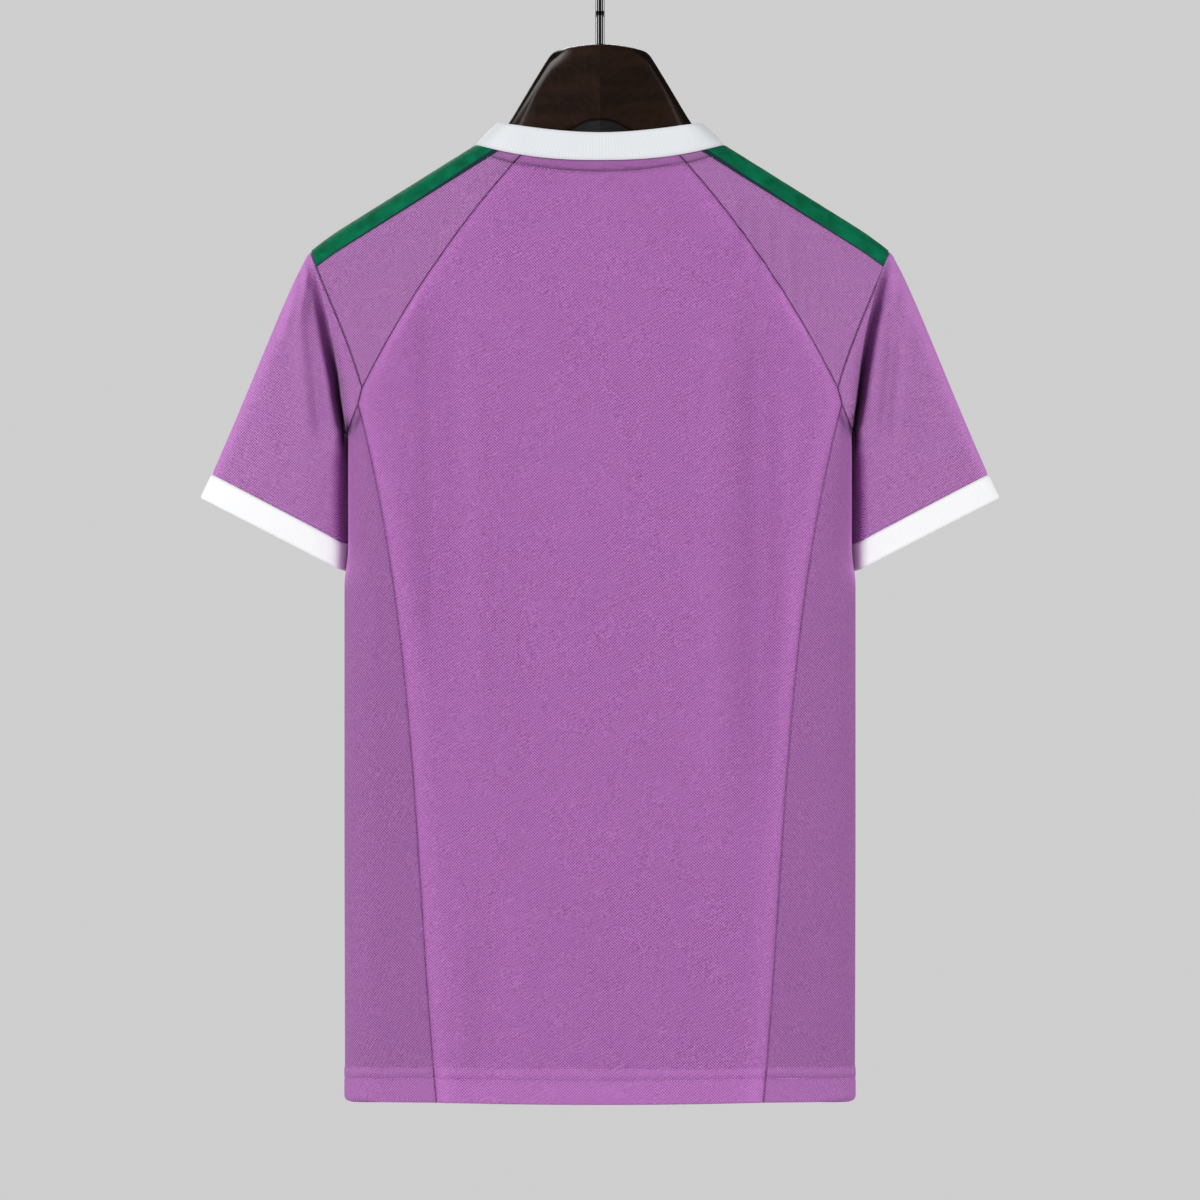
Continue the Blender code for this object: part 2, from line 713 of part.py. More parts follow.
def hanger_section(row, hand):
    """Return the loop of points round the wood at one row of its table."""
    middle, half_height = (row.top + row.bottom) / 2.0, (row.bottom - row.top) / 2.0
    power = 2.0 / row.squareness
    loop = []
    for k in range(HANGER_AROUND):
        angle = 2.0 * math.pi * k / HANGER_AROUND
        side, rise = math.sin(angle), math.cos(angle)
        y = row.half_depth * math.copysign(abs(side) ** power, side)
        height = math.copysign(abs(rise) ** power, rise)
        fall = row.front_fall * (1.0 - height) / 2.0 * (1.0 + y / row.half_depth) / 2.0
        loop.append(place(hand * row.x, middle - half_height * height + fall, y))
    return loop


def build_hanger():
    """Build the hanger's two halves of wood, glued at the centre line."""
    for name, hand in HANDS.items():
        mesh = bmesh.new()
        loops = [[mesh.verts.new(point * MM) for point in hanger_section(row, hand)]
                 for row in HANGER]
        for near, far in zip(loops, loops[1:]):
            for k in range(HANGER_AROUND):
                n = (k + 1) % HANGER_AROUND
                mesh.faces.new((near[k], near[n], far[n], far[k]))
        mesh.faces.new(loops[0])
        mesh.faces.new(loops[-1])
        bmesh.ops.triangulate(mesh, faces=mesh.faces)
        finished_object(f"hanger_{name}", mesh, DARK_WOOD)


def build_hook():
    """Build the wire hook: a straight shank, a bend and a round loop open on one side."""
    radius = HOOK_RADIUS + HOOK_WIRE
    centre = -HOOK_RADIUS
    join = Vector((radius * math.cos(HOOK_JOIN_ANGLE), 0.0,
                   centre + radius * math.sin(HOOK_JOIN_ANGLE)))
    heading = Vector((-math.sin(HOOK_JOIN_ANGLE), 0.0, math.cos(HOOK_JOIN_ANGLE)))
    foot = Vector((0.0, 0.0, -HANGER_TOP + SEAM_GAP))
    bend = Vector((0.0, 0.0, -HANGER_TOP + HOOK_BEND_START))
    pull = (join - bend).length / 2.0
    points = [foot, bend]
    for i in range(1, HOOK_BEND_STEPS):
        t = i / HOOK_BEND_STEPS
        a, b, c, d = bend, bend + Vector((0, 0, pull)), join - heading * pull, join
        points.append(a * (1 - t) ** 3 + b * 3 * (1 - t) ** 2 * t
                      + c * 3 * (1 - t) * t * t + d * t ** 3)
    for i in range(HOOK_ARC_STEPS + 1):
        angle = lerp(HOOK_JOIN_ANGLE, HOOK_END_ANGLE, i / HOOK_ARC_STEPS)
        points.append(Vector((radius * math.cos(angle), 0.0, centre + radius * math.sin(angle))))
    curve = bpy.data.curves.new("hook", "CURVE")
    curve.dimensions = "3D"
    curve.bevel_depth = HOOK_WIRE * MM
    curve.bevel_resolution = 3
    curve.use_fill_caps = True
    spline = curve.splines.new("POLY")
    spline.points.add(len(points) - 1)
    for node, point in zip(spline.points, points):
        node.co = (*(point * MM), 1.0)
    curve.materials.append(material("hook", CHROME))
    bpy.context.collection.objects.link(bpy.data.objects.new("hook", curve))


def main():
    """Clear the scene and build the jersey, its hanger and the hook."""
    for thing in list(bpy.data.objects):
        bpy.data.objects.remove(thing, do_unlink=True)
    build_jersey()
    build_hanger()
    build_hook()


main()
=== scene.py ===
"""Looks of a short-sleeved goalkeeper jersey on a wooden hanger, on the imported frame.

The back of the jersey faces -Y, +X is the wearer's right and +Z is up. The origin is the inside
top of the hanger's hook. Cloth is worked out in millimetres: x is the distance from the centre
line and drop the distance below the level where the shoulder line meets the neck. Face is -1 on
the back and +1 on the front, hand is -1 on the wearer's left and +1 on the right.
"""
from __future__ import annotations

import logging
import math
from dataclasses import dataclass, field
from enum import Enum
from functools import cache
from typing import Callable, NamedTuple, Sequence

import bmesh
import bpy
from bpy.types import Material, NodeSocket, NodeTree, Object
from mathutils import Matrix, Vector, noise


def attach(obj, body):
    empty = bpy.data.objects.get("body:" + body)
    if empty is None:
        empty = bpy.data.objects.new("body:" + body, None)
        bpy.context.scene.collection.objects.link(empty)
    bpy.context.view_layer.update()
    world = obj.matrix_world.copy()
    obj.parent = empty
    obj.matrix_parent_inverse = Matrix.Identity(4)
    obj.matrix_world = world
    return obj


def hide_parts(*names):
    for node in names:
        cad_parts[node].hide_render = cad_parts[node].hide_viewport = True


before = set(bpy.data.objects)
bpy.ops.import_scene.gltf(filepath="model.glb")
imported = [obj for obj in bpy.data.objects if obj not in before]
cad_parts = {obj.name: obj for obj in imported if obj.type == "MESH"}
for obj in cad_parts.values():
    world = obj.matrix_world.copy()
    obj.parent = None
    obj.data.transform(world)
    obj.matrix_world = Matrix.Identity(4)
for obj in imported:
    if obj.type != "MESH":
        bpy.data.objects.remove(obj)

LOG = logging.getLogger("jersey")
MM = 0.001
TURN = 2 * math.pi
BACK, FRONT = -1, 1
FACES = (BACK, FRONT)
HANDS = {"left": -1, "right": 1}
EDGES = ("top", "bottom", "start", "end")
NECK_LEVEL = 177.9
FAR = 1000
Colour = tuple[float, float, float]
Rows = list[list[Vector]]
Spots = tuple["Spot", ...]
Marks = list[list[tuple[float, float]]]


class Spot(NamedTuple):
    """A place on the cloth: its distance from the centre line and its drop, in millimetres."""

    x: float
    drop: float


class Hold(Enum):
    """How a piece of cloth is held."""

    HUNG = "hung"
    STRETCHED = "stretched"


def lerp(a: float, b: float, t: float) -> float:
    """Return the value at share t between a and b."""
    return a + (b - a) * t


def smooth(t: float) -> float:
    """Ease t from 0 to 1 with no slope at either end."""
    t = min(max(t, 0), 1)
    return t * t * (3 - 2 * t)


def rounded(t: float) -> float:
    """Return the height of a quarter-round edge: 0 at its rim, 1 from t = 1 on."""
    t = min(max(t, 0), 1)
    return math.sqrt(1 - (1 - t) ** 2)


def dense_ends(t: float, share: float = 0.75) -> float:
    """Return t from 0 to 1, moved so that equal steps of it are finer near both ends."""
    return lerp(t, 0.5 - 0.5 * math.cos(math.pi * t), share)


def dense_shares(count: int) -> list[float]:
    """Return count steps from 0 to 1 that are finer near both ends."""
    return [dense_ends(i / count) for i in range(count + 1)]


def bump(t: float) -> float:
    """Return a bell that is 1 at t = 0 and all but gone at t = 2."""
    return math.exp(-t * t)


def bezier(spots: Spots, t: float) -> Spot:
    """Return the spot at share t of a cubic Bezier."""
    weights = ((1 - t) ** 3, 3 * (1 - t) ** 2 * t, 3 * (1 - t) * t * t, t ** 3)
    return Spot(sum(w * s[0] for w, s in zip(weights, spots)),
                sum(w * s[1] for w, s in zip(weights, spots)))


def between(a: Spot, b: Spot, t: float) -> Spot:
    """Return the spot at share t of the straight way between two spots."""
    return Spot(lerp(a.x, b.x, t), lerp(a.drop, b.drop, t))


def eased(rows: tuple[tuple[float, ...], ...], at: float) -> tuple[float, ...]:
    """Return a table's row at a value of its first column, eased between its rows.

    Args:
        rows: the table, sorted by its first column.
        at: the value of the first column.

    Returns:
        The row's values, the first column included.
    """
    if at <= rows[0][0]:
        return rows[0]
    for low, high in zip(rows, rows[1:]):
        if at <= high[0]:
            share = smooth((at - low[0]) / (high[0] - low[0]))
            return tuple(lerp(a, b, share) for a, b in zip(low, high))
    return rows[-1]


def point_at(x: float, drop: float, y: float) -> Vector:
    """Return the point of a spot at depth y, in millimetres."""
    return Vector((x, y, -(NECK_LEVEL + drop)))


def drop_of(point: Vector) -> float:
    """Return the drop of a point."""
    return -point.z - NECK_LEVEL


def wander(x: float, drop: float, seed: float) -> float:
    """Return a soft unevenness from -1 to 1 at a place."""
    return noise.noise(Vector((x, drop, seed)))


def running(points: Sequence, gap: Callable = lambda a, b: (b - a).length) -> list[float]:
    """Return how far along a line each of its points lies.

    Args:
        points: the line's points.
        gap: gives the distance between two of them.

    Returns:
        The distances from the first point.
    """
    lengths = [0]
    for a, b in zip(points, points[1:]):
        lengths.append(lengths[-1] + gap(a, b))
    return lengths


def slopes(line: Sequence[Vector], closed: bool = False) -> list[Vector]:
    """Return the way from the point before each point of a line to the point after it."""
    padded = [line[-1 if closed else 0], *line, line[0 if closed else -1]]
    return [after - before for before, after in zip(padded, padded[2:])]


def from_middle(row: list[Vector]) -> list[float]:
    """Return how far along a row its points lie from its middle one, in metres."""
    lengths = running(row)
    return [(length - lengths[len(row) // 2]) * MM for length in lengths]


class Fold(NamedTuple):
    """A soft fold from one spot to another; a trough has a positive depth, a ridge a negative."""

    x_top: float
    drop_top: float
    x_bottom: float
    drop_bottom: float
    half_width: float
    depth: float

    def press(self, x: float, drop: float) -> float:
        """Work out how deep the fold presses in at a spot.

        Args:
            x: the spot's distance from the centre line.
            drop: its drop.

        Returns:
            The depth in millimetres, below 0 on a ridge.
        """
        run, fall = self.x_bottom - self.x_top, self.drop_bottom - self.drop_top
        length = math.hypot(run, fall)
        along = ((x - self.x_top) * run + (drop - self.drop_top) * fall) / length ** 2
        if not 0 < along < 1:
            return 0
        aside = ((x - self.x_top) * fall - (drop - self.drop_top) * run) / length
        if abs(aside) > 3 * self.half_width:
            return 0
        ends = smooth(along / 0.25) * smooth((1 - along) / 0.25)
        return self.depth * ends * bump(aside / self.half_width)

    def shade(self, x: float, drop: float) -> float:
        """Return the painted shade that the fold puts on the cloth; narrow folds get the most."""
        return 0.0065 * self.press(x, drop) * (13 / self.half_width) ** 1.4


@dataclass(frozen=True)
class JerseyForm:
    """The surface that the jersey's cloth lies on, with its seam lines and its folds."""

    neck_point: Spot = Spot(94.8, -2.7)
    slope: float = math.radians(32)
    bend: float = 195
    tip: float = 221.5
    tip_fall: float = 2.5
    shoulder_depth: float = 24
    shoulder_round: float = 24
    shoulder_spread: float = 130
    band_reach: float = 13
    body: tuple = ((0, 193, 26), (150, 193, 28), (305, 193, 27.5),
                   (335, 195.8, 27), (520, 195.8, 24.5), (731.3, 195.4, 21))
    side_round: tuple = ((0, 13), (216, 13), (310, 27), (731.3, 31))
    hem_sag: float = 1.8
    hem_corner: float = 4.5
    raglan_start: tuple = (60.4, 74)
    raglan_back: tuple = (Spot(109.3, 59.5), Spot(149.1, 118.1), Spot(181.7, 183.6))
    raglan_front: tuple = (Spot(104, 86), Spot(146, 128), Spot(181.7, 183.6))
    armhole: tuple = (Spot(221.5, 79), Spot(211, 108), Spot(192, 146), Spot(181.7, 183.6))
    side_top: Spot = Spot(184.9, 195.8)
    side_seam: tuple = (Spot(184.9, 195.8), Spot(139.5, 366.6), Spot(141.8, 550.3), Spot(124.9, 729.5))
    underarm: Spot = Spot(193, 216)
    neck_back_drop: float = 9.6
    neck_back_power: float = 2.4
    neck_front_drop: float = 80
    back_folds: tuple = (
        (-129, 70, -125, 430, 13, 6.2), (124, 70, 120, 560, 13, 6.8), (-99, 90, -95, 520, 15, -3.4),
        (88, 90, 86, 560, 14, -3.6), (142, 160, 146, 420, 10, -3), (-62, 560, -66, 745, 15, -3.2),
        (-104, 520, -112, 745, 16, -2.8), (-92, 590, -90, 735, 9, 1.8), (8, 560, 16, 745, 26, 2),
        (-52, 250, -60, 610, 20, 1.1), (38, 330, 46, 690, 22, 1), (-8, 60, -4, 300, 24, 0.9),
        (112.5, 30, 104, 98, 3.2, 1.7), (117, 36, 126, 112, 3, 1.8), (133.5, 44, 136, 120, 3.6, 1.9),
        (149, 54, 151, 134, 3.2, 1.5), (158, 66, 162, 140, 3, 0.9), (168, 70, 172, 128, 4.2, 1.2),
        (98, 16, 128, 24, 2.6, 0.8), (-88, 26, -66, 12, 2.8, 0.8), (-100, 34, -76, 24, 3.2, 0.7),
        (-112, 42, -98, 84, 4, 0.6), (-128, 50, -122, 104, 4.6, 0.6))
    front_folds: tuple = (
        (-126, 95, -122, 430, 14, 4), (124, 90, 127, 380, 14, 4), (60, 170, 66, 520, 16, -2),
        (-40, 260, -52, 600, 20, 1.4), (-6, 120, 10, 330, 18, 1.6), (112, 44, 106, 98, 5, 0.8),
        (-110, 40, -104, 90, 5, 0.8))
    raglan_steps: int = 84
    lower_steps: int = 5
    side_steps: int = 150
    hem_steps: int = 40
    hem_share: float = 0.925
    panel_half_steps: int = 46
    seam_columns: tuple = (0, 0.5, 1, 1.7, 2.6, 3.8, 5.2, 7, 9.2)
    yoke_steps: int = 26
    band_half_steps: int = 9
    underarm_steps: int = 20

    def shoulder_drop(self, x: float) -> float:
        """Return the drop of the shoulder line at x."""
        tip = max(0, abs(x) - self.bend) / (self.tip - self.bend)
        return (self.neck_point.drop + math.tan(self.slope) * (abs(x) - self.neck_point.x)
                + self.tip_fall * tip * tip)

    def shoulder_distance(self, x: float, drop: float) -> float:
        """Return how far a spot lies inside the shoulder line."""
        return (drop - self.shoulder_drop(x)) * math.cos(self.slope)

    def half_width(self, drop: float) -> float:
        """Return the body's half width at a drop, with a rounded corner at the hem."""
        low = (drop - self.side_seam[-1].drop) / self.hem_corner + 1
        return eased(self.body, drop)[1] - self.hem_corner * (1 - rounded(1 - max(low, 0)))

    def side_distance(self, x: float, drop: float) -> float:
        """Return how far a spot lies inside the side edge, or from the underarm above it."""
        if drop >= self.underarm.drop:
            return self.half_width(drop) - abs(x)
        return math.hypot(abs(x) - self.underarm.x, drop - self.underarm.drop)

    @cache
    def folds(self, face: int) -> list[Fold]:
        """Return one face's folds."""
        return [Fold(*row) for row in (self.back_folds if face == BACK else self.front_folds)]

    def depth(self, x: float, drop: float, face: int) -> float:
        """Return the half depth of the body at a spot.

        Args:
            x: the distance from the centre line.
            drop: the drop below the neck point.
            face: -1 or +1.

        Returns:
            How far the cloth stands out from the middle plane, in millimetres.
        """
        inside = self.shoulder_distance(x, drop)
        full = lerp(self.shoulder_depth, eased(self.body, drop)[2], smooth(inside / self.shoulder_spread))
        edge = (rounded(inside / self.shoulder_round)
                * rounded(self.side_distance(x, drop) / eased(self.side_round, drop)[1]))
        press = sum(fold.press(x, drop) for fold in self.folds(face))
        press += 0.9 * wander(x / 85, drop / 210, 3 + face)
        press += 0.28 * wander(x / 22, drop / 60, 9 + face)
        return (full - press) * edge

    def fold_shade(self, x: float, drop: float, face: int) -> float:
        """Return the painted shade in the cloth's folds, or painted light, below 0, on their ridges."""
        return sum(fold.shade(x, drop) for fold in self.folds(face))

    def point(self, x: float, drop: float, face: int) -> Vector:
        """Return the point of the body's outer side at a spot."""
        return point_at(x, drop, face * self.depth(x, drop, face))

    def points(self, spots: Sequence[Spot], hand: int, face: int) -> list[Vector]:
        """Return the points of spots on one hand and one face."""
        return [self.point(hand * spot.x, spot.drop, face) for spot in spots]

    def start_of_raglan(self, face: int) -> float:
        """Return where a raglan seam meets the neck seam."""
        return self.raglan_start[0] if face == BACK else self.raglan_start[1]

    def neck_drop(self, x: float, face: int) -> float:
        """Return the drop of the neck seam at x."""
        share = min(abs(x) / self.neck_point.x, 1)
        if face == BACK:
            return lerp(self.neck_back_drop, self.neck_point.drop, share ** self.neck_back_power)
        return lerp(self.neck_point.drop, self.neck_front_drop, math.sqrt(1 - share * share))

    def neck_spot(self, t: float, face: int) -> Spot:
        """Return the neck seam's spot at share t, from the shoulder to the raglan seam."""
        x = lerp(self.neck_point.x, self.start_of_raglan(face), t)
        return Spot(x, self.neck_drop(x, face))

    def armhole_spot(self, t: float) -> Spot:
        """Return the armhole's spot at share t, from the shoulder tip to the raglan seam."""
        return bezier(self.armhole, t)

    def at_distance(self, curve: Callable[[float], Spot], distance: float) -> tuple[Spot, float]:
        """Find where a curve lies a distance inside the shoulder line.

        Args:
            curve: gives a spot for a share from 0 to 1.
            distance: the distance inside the shoulder line.

        Returns:
            The spot and its share of the curve.
        """
        low, high = 0, 1
        for _ in range(40):
            middle = (low + high) / 2
            if self.shoulder_distance(*curve(middle)) < distance:
                low = middle
            else:
                high = middle
        return curve(high), high

    def band_distances(self) -> list[float]:
        """Return the distances inside the shoulder line of the band's columns."""
        widest = math.acos(1 - self.band_reach / self.shoulder_round)
        return [self.shoulder_round * (1 - math.cos(widest * k / self.band_half_steps))
                for k in range(self.band_half_steps + 1)]

    @cache
    def band_spots(self, distance: float, face: int) -> Spots:
        """Return a band column's spots, from the neck seam to the armhole seam."""
        first, _ = self.at_distance(lambda t: self.neck_spot(t, face), distance)
        last, _ = self.at_distance(self.armhole_spot, distance)
        if distance == 0:
            first, last = self.neck_point, self.armhole[0]
        across = [lerp(first.x, last.x, t) for t in dense_shares(self.raglan_steps)[1:-1]]
        below = distance / math.cos(self.slope)
        return (first, *(Spot(x, self.shoulder_drop(x) + below) for x in across), last)

    @cache
    def raglan_spots(self, face: int) -> Spots:
        """Return the raglan seam's spots, from the neck seam to the armhole seam."""
        x = self.start_of_raglan(face)
        curve = self.raglan_back if face == BACK else self.raglan_front
        line = (Spot(x, self.neck_drop(x, face)), *curve)
        return tuple(bezier(line, t) for t in dense_shares(self.raglan_steps))

    def lower_armhole_spots(self) -> Spots:
        """Return the spots from the raglan seam's end to the top of the side seam."""
        return tuple(between(self.armhole[-1], self.side_top, i / self.lower_steps)
                     for i in range(self.lower_steps + 1))

    @cache
    def side_spots(self) -> Spots:
        """Return the side seam's spots, from the armhole to the hem."""
        upper = self.side_steps - self.hem_steps
        shares = [self.hem_share * i / upper for i in range(upper)]
        shares += [lerp(self.hem_share, 1, i / self.hem_steps) for i in range(self.hem_steps + 1)]
        return tuple(bezier(self.side_seam, share) for share in shares)

    def edge_share(self, k: int) -> float:
        """Return how far column k lies from the side edge, as a share of the panel's reach."""
        return 1 - math.cos(math.pi / 2 * (1 - (k / self.underarm_steps) ** 1.5))

    @cache
    def underarm_spots(self) -> Spots:
        """Return the spots from the top of the side seam to the underarm."""
        return tuple(between(self.underarm, self.side_top, self.edge_share(k))
                     for k in range(self.underarm_steps + 1))

    @cache
    def yoke_spots(self, face: int) -> tuple[Spots, ...]:
        """Fill a yoke from its four edges.

        Args:
            face: -1 or +1.

        Returns:
            Its spots as rows from the neck to the armhole, each from the raglan seam to the band.
        """
        raglan = self.raglan_spots(face)
        band = self.band_spots(self.band_reach, face)
        _, neck_share = self.at_distance(lambda t: self.neck_spot(t, face), self.band_reach)
        _, arm_share = self.at_distance(self.armhole_spot, self.band_reach)
        rows = []
        for i, t in enumerate(dense_shares(self.raglan_steps)):
            row = []
            for u in dense_shares(self.yoke_steps):
                neck = self.neck_spot(lerp(1, neck_share, u), face)
                arm = self.armhole_spot(lerp(1, arm_share, u))
                row.append(Spot(*(
                    lerp(raglan[i][c], band[i][c], u) + lerp(neck[c], arm[c], t)
                    - lerp(lerp(raglan[0][c], band[0][c], u),
                           lerp(raglan[-1][c], band[-1][c], u), t)
                    for c in range(2))))
            rows.append((raglan[i], *row[1:-1], band[i]))
        return tuple(rows)

    @cache
    def armhole_spots(self, face: int) -> Spots:
        """Return the armhole's spots on one face, from the shoulder tip to the underarm."""
        band = [self.band_spots(distance, face)[-1] for distance in self.band_distances()]
        return (*band, *self.yoke_spots(face)[-1][::-1][1:], *self.lower_armhole_spots()[1:],
                *self.underarm_spots()[1:])

    @cache
    def around_shares(self, face: int) -> tuple[float, ...]:
        """Return how far round the sleeve each armhole spot lies, from 0 at the tip to 1."""
        lengths = running(self.points(self.armhole_spots(face), 1, face))
        return tuple(length / lengths[-1] for length in lengths)


class Place(NamedTuple):
    """Where a grid point lies on its piece, in millimetres, for the relief of sewing."""

    face: int
    x: float
    drop: float
    top: float
    bottom: float
    start: float
    end: float

    @property
    def aside(self) -> float:
        """Return the distance from the nearer of the two seams at the sides."""
        return min(self.start, self.end)

    @property
    def near(self) -> float:
        """Return the distance from the nearest seam."""
        return min(self.aside, self.top, self.bottom)

    @property
    def seam(self) -> float:
        """Return that distance for the seam's dark line, which fades down the side seams."""
        return self.near + 0.55 * smooth((self.drop - 190) / 30)


Relief = Callable[[Place], float]


class Work(NamedTuple):
    """What is worked onto a piece: its relief, its tone, which holds darker seams and rows and painted
    light and shade, and the distance from stitch rows.
    """

    relief: Relief
    tone: Relief
    stitch: Relief = lambda place: FAR


def placed(name: str, data: bpy.types.ID) -> Object:
    """Make an object of some data, put it in the scene and return it."""
    thing = bpy.data.objects.new(name, data)
    bpy.context.collection.objects.link(thing)
    return thing


def solid(name: str, points: list[Vector], faces: list[tuple[int, ...]],
          finish: Material, sharp: float, layers: dict[str, Sequence[float]],
          flat: Sequence[tuple[float, float]] = (), turn: float = 0) -> Object:
    """Turn points and faces into a smooth closed mesh that faces outwards.

    Args:
        name: the name of the object and of its mesh.
        points: its points, in millimetres.
        faces: its faces, as indices of points.
        finish: its material.
        sharp: the angle from which its edges stay sharp, in degrees.
        layers: numbers that it keeps for each point, by name.
        flat: each point's place in the UV map in metres, or nothing for no map.
        turn: the length of a UV map that closes on itself in metres, or 0.

    Returns:
        The object, at the origin.
    """
    data = bpy.data.meshes.new(name)
    data.from_pydata([p * MM for p in points], [], faces)
    mesh = bmesh.new()
    mesh.from_mesh(data)
    bmesh.ops.recalc_face_normals(mesh, faces=mesh.faces)
    if mesh.calc_volume(signed=True) < 0:
        bmesh.ops.reverse_faces(mesh, faces=mesh.faces)
    if flat:
        layer = mesh.loops.layers.uv.new("cloth")
        for face in mesh.faces:
            spots = [flat[loop.vert.index] for loop in face.loops]
            far = max(u for u, _ in spots)
            for loop, (u, v) in zip(face.loops, spots):
                whole = turn if turn and far - u > turn / 2 else 0
                loop[layer].uv = (u + whole, v)
    mesh.to_mesh(data)
    mesh.free()
    data.shade_smooth()
    data.set_sharp_from_angle(angle=math.radians(sharp))
    data.materials.append(finish)
    for kind, values in layers.items():
        data.attributes.new(kind, "FLOAT", "POINT").data.foreach_set("value", values)
    return placed(name, data)


def loft(name: str, loops: Rows, tones: list[float], finish: Material, sharp: float) -> Object:
    """Join loops of points into a solid with flat ends.

    Args:
        name: the name of the object.
        loops: the loops, each with as many points, in millimetres.
        tones: how dark each point is.
        finish: the material.
        sharp: the angle from which edges stay sharp, in degrees.

    Returns:
        The object.
    """
    around, last = len(loops[0]), (len(loops) - 1) * len(loops[0])
    faces = [(base + k, base + (k + 1) % around, base + around + (k + 1) % around,
              base + around + k) for base in range(0, last, around) for k in range(around)]
    faces += [tuple(range(around)), tuple(range(last, last + around))]
    points = [point for loop in loops for point in loop]
    return solid(name, points, faces, finish, sharp, {"tone": tones})


@dataclass
class Cloth:
    """A piece of cloth: a grid of points on its outer side, which becomes a closed thin wall."""

    name: str
    rows: Rows
    wall: float
    seams: tuple[str, ...]
    work: Work
    marks: Marks | None = None
    closed: bool = False
    turn: float = 0
    lip: float = 0.45

    def __post_init__(self) -> None:
        """Measure the grid and work out the outward normals."""
        self.height, self.width = len(self.rows), len(self.rows[0])
        self.notes: list[list[tuple[float, float, float]]] = []
        falls = zip(*(slopes(column) for column in zip(*self.rows)))
        self.normals = [[down.cross(across).normalized()
                         for down, across in zip(fall, slopes(row, self.closed))]
                        for fall, row in zip(falls, self.rows)]
        outward = sum(normal.y * point.y for normals, points in zip(self.normals, self.rows)
                      for normal, point in zip(normals, points))
        if outward < 0:
            self.normals = [[-normal for normal in row] for row in self.normals]

    def lengths(self, edge: str) -> list[list[float]]:
        """Measure how far each point lies from one edge of the grid.

        Args:
            edge: the edge, as EDGES names it.

        Returns:
            The distances along the cloth in millimetres, row by row.
        """
        way = -1 if edge in ("bottom", "end") else 1
        if edge in ("start", "end"):
            return [running(row[::way])[::way] for row in self.rows]
        columns = [running(column[::way])[::way] for column in zip(*self.rows)]
        return [list(row) for row in zip(*columns)]

    def press(self) -> None:
        """Raise or lower each point by the relief of the sewing, and note its place's tone."""
        unsewn = [[FAR] * self.width] * self.height
        tables = [self.lengths(edge) if edge in self.seams else unsewn for edge in EDGES]
        for i, (row, normals) in enumerate(zip(self.rows, self.normals)):
            places = [Place(BACK if point.y < 0 else FRONT, point.x, drop_of(point),
                            *(table[i][j] for table in tables)) for j, point in enumerate(row)]
            self.rows[i] = [point + normal * self.work.relief(place)
                            for point, normal, place in zip(row, normals, places)]
            self.notes.append([(place.seam, self.work.stitch(place), self.work.tone(place))
                               for place in places])

    def rim(self, i: int) -> list[Vector]:
        """Return the rounded middle line of an open edge, row i."""
        near = 1 if i == 0 else self.height - 2
        return [point - normal * (self.wall / 2)
                + (point - inside).normalized() * (self.wall * self.lip)
                for point, normal, inside in zip(self.rows[i], self.normals[i], self.rows[near])]

    def side_faces(self, count: int) -> list[tuple[int, ...]]:
        """Return the faces of the wall's two side edges.

        Args:
            count: how many points the outer side has.

        Returns:
            The faces, as indices of points.
        """
        faces, last = [], self.height - 1
        for j in (0, self.width - 1):
            starts = [i * self.width + j for i in range(self.height)]
            faces += [(a, b, count + b, count + a) for a, b in zip(starts, starts[1:])]
            rim = 2 * count + j
            for i, edge in ((0, "top"), (last, "bottom")):
                if edge not in self.seams:
                    faces.append((starts[i], count + starts[i], rim))
                    rim += self.width
        return faces

    def build(self, finish: Material) -> Object:
        """Build the wall.

        Args:
            finish: its material.

        Returns:
            The object, at the origin, with the piece's own UV map in metres.
        """
        count = self.height * self.width
        points = [p for row in self.rows for p in row]
        points += [p - n * self.wall for row, normals in zip(self.rows, self.normals)
                   for p, n in zip(row, normals)]
        marks = self.marks or [[(p.x * MM, p.z * MM) for p in row] for row in self.rows]
        flat = [mark for row in marks for mark in row] * 2
        notes = [note for row in self.notes for note in row] * 2
        beside = [(j, (j + 1) % self.width) for j in range(self.width if self.closed else self.width - 1)]
        faces = []
        for base in range(0, count - self.width, self.width):
            for a, b in beside:
                a, b, c, d = base + a, base + b, base + self.width + a, base + self.width + b
                faces += [(a, b, d, c), (count + a, count + c, count + d, count + b)]
        for i, edge in ((0, "top"), (self.height - 1, "bottom")):
            near, far, rim = i * self.width, count + i * self.width, len(points)
            if edge in self.seams:
                faces += [(near + a, near + b, far + b, far + a) for a, b in beside]
                continue
            points += self.rim(i)
            flat += marks[i]
            notes += self.notes[i]
            for a, b in beside:
                faces += [(near + a, near + b, rim + b, rim + a), (rim + a, rim + b, far + b, far + a)]
        if not self.closed:
            faces += self.side_faces(count)
        layers = dict(zip(("seam", "stitch", "tone"), zip(*notes)))
        return solid(self.name, points, faces, finish, 60, layers, flat, self.turn)


def share_normals(pieces: list[Cloth]) -> None:
    """Give the points that pieces share one normal, so that their walls meet.

    Args:
        pieces: every piece of cloth of the jersey.
    """
    table: dict[tuple[float, ...], Vector] = {}
    grids = [[[tuple(round(value, 2) for value in point) for point in row] for row in piece.rows]
             for piece in pieces]
    for piece, grid in zip(pieces, grids):
        for keys, normals in zip(grid, piece.normals):
            for key, normal in zip(keys, normals):
                table.setdefault(key, Vector()).xyz += normal
    for piece, grid in zip(pieces, grids):
        piece.normals = [[table[key].normalized() for key in keys] for keys in grid]


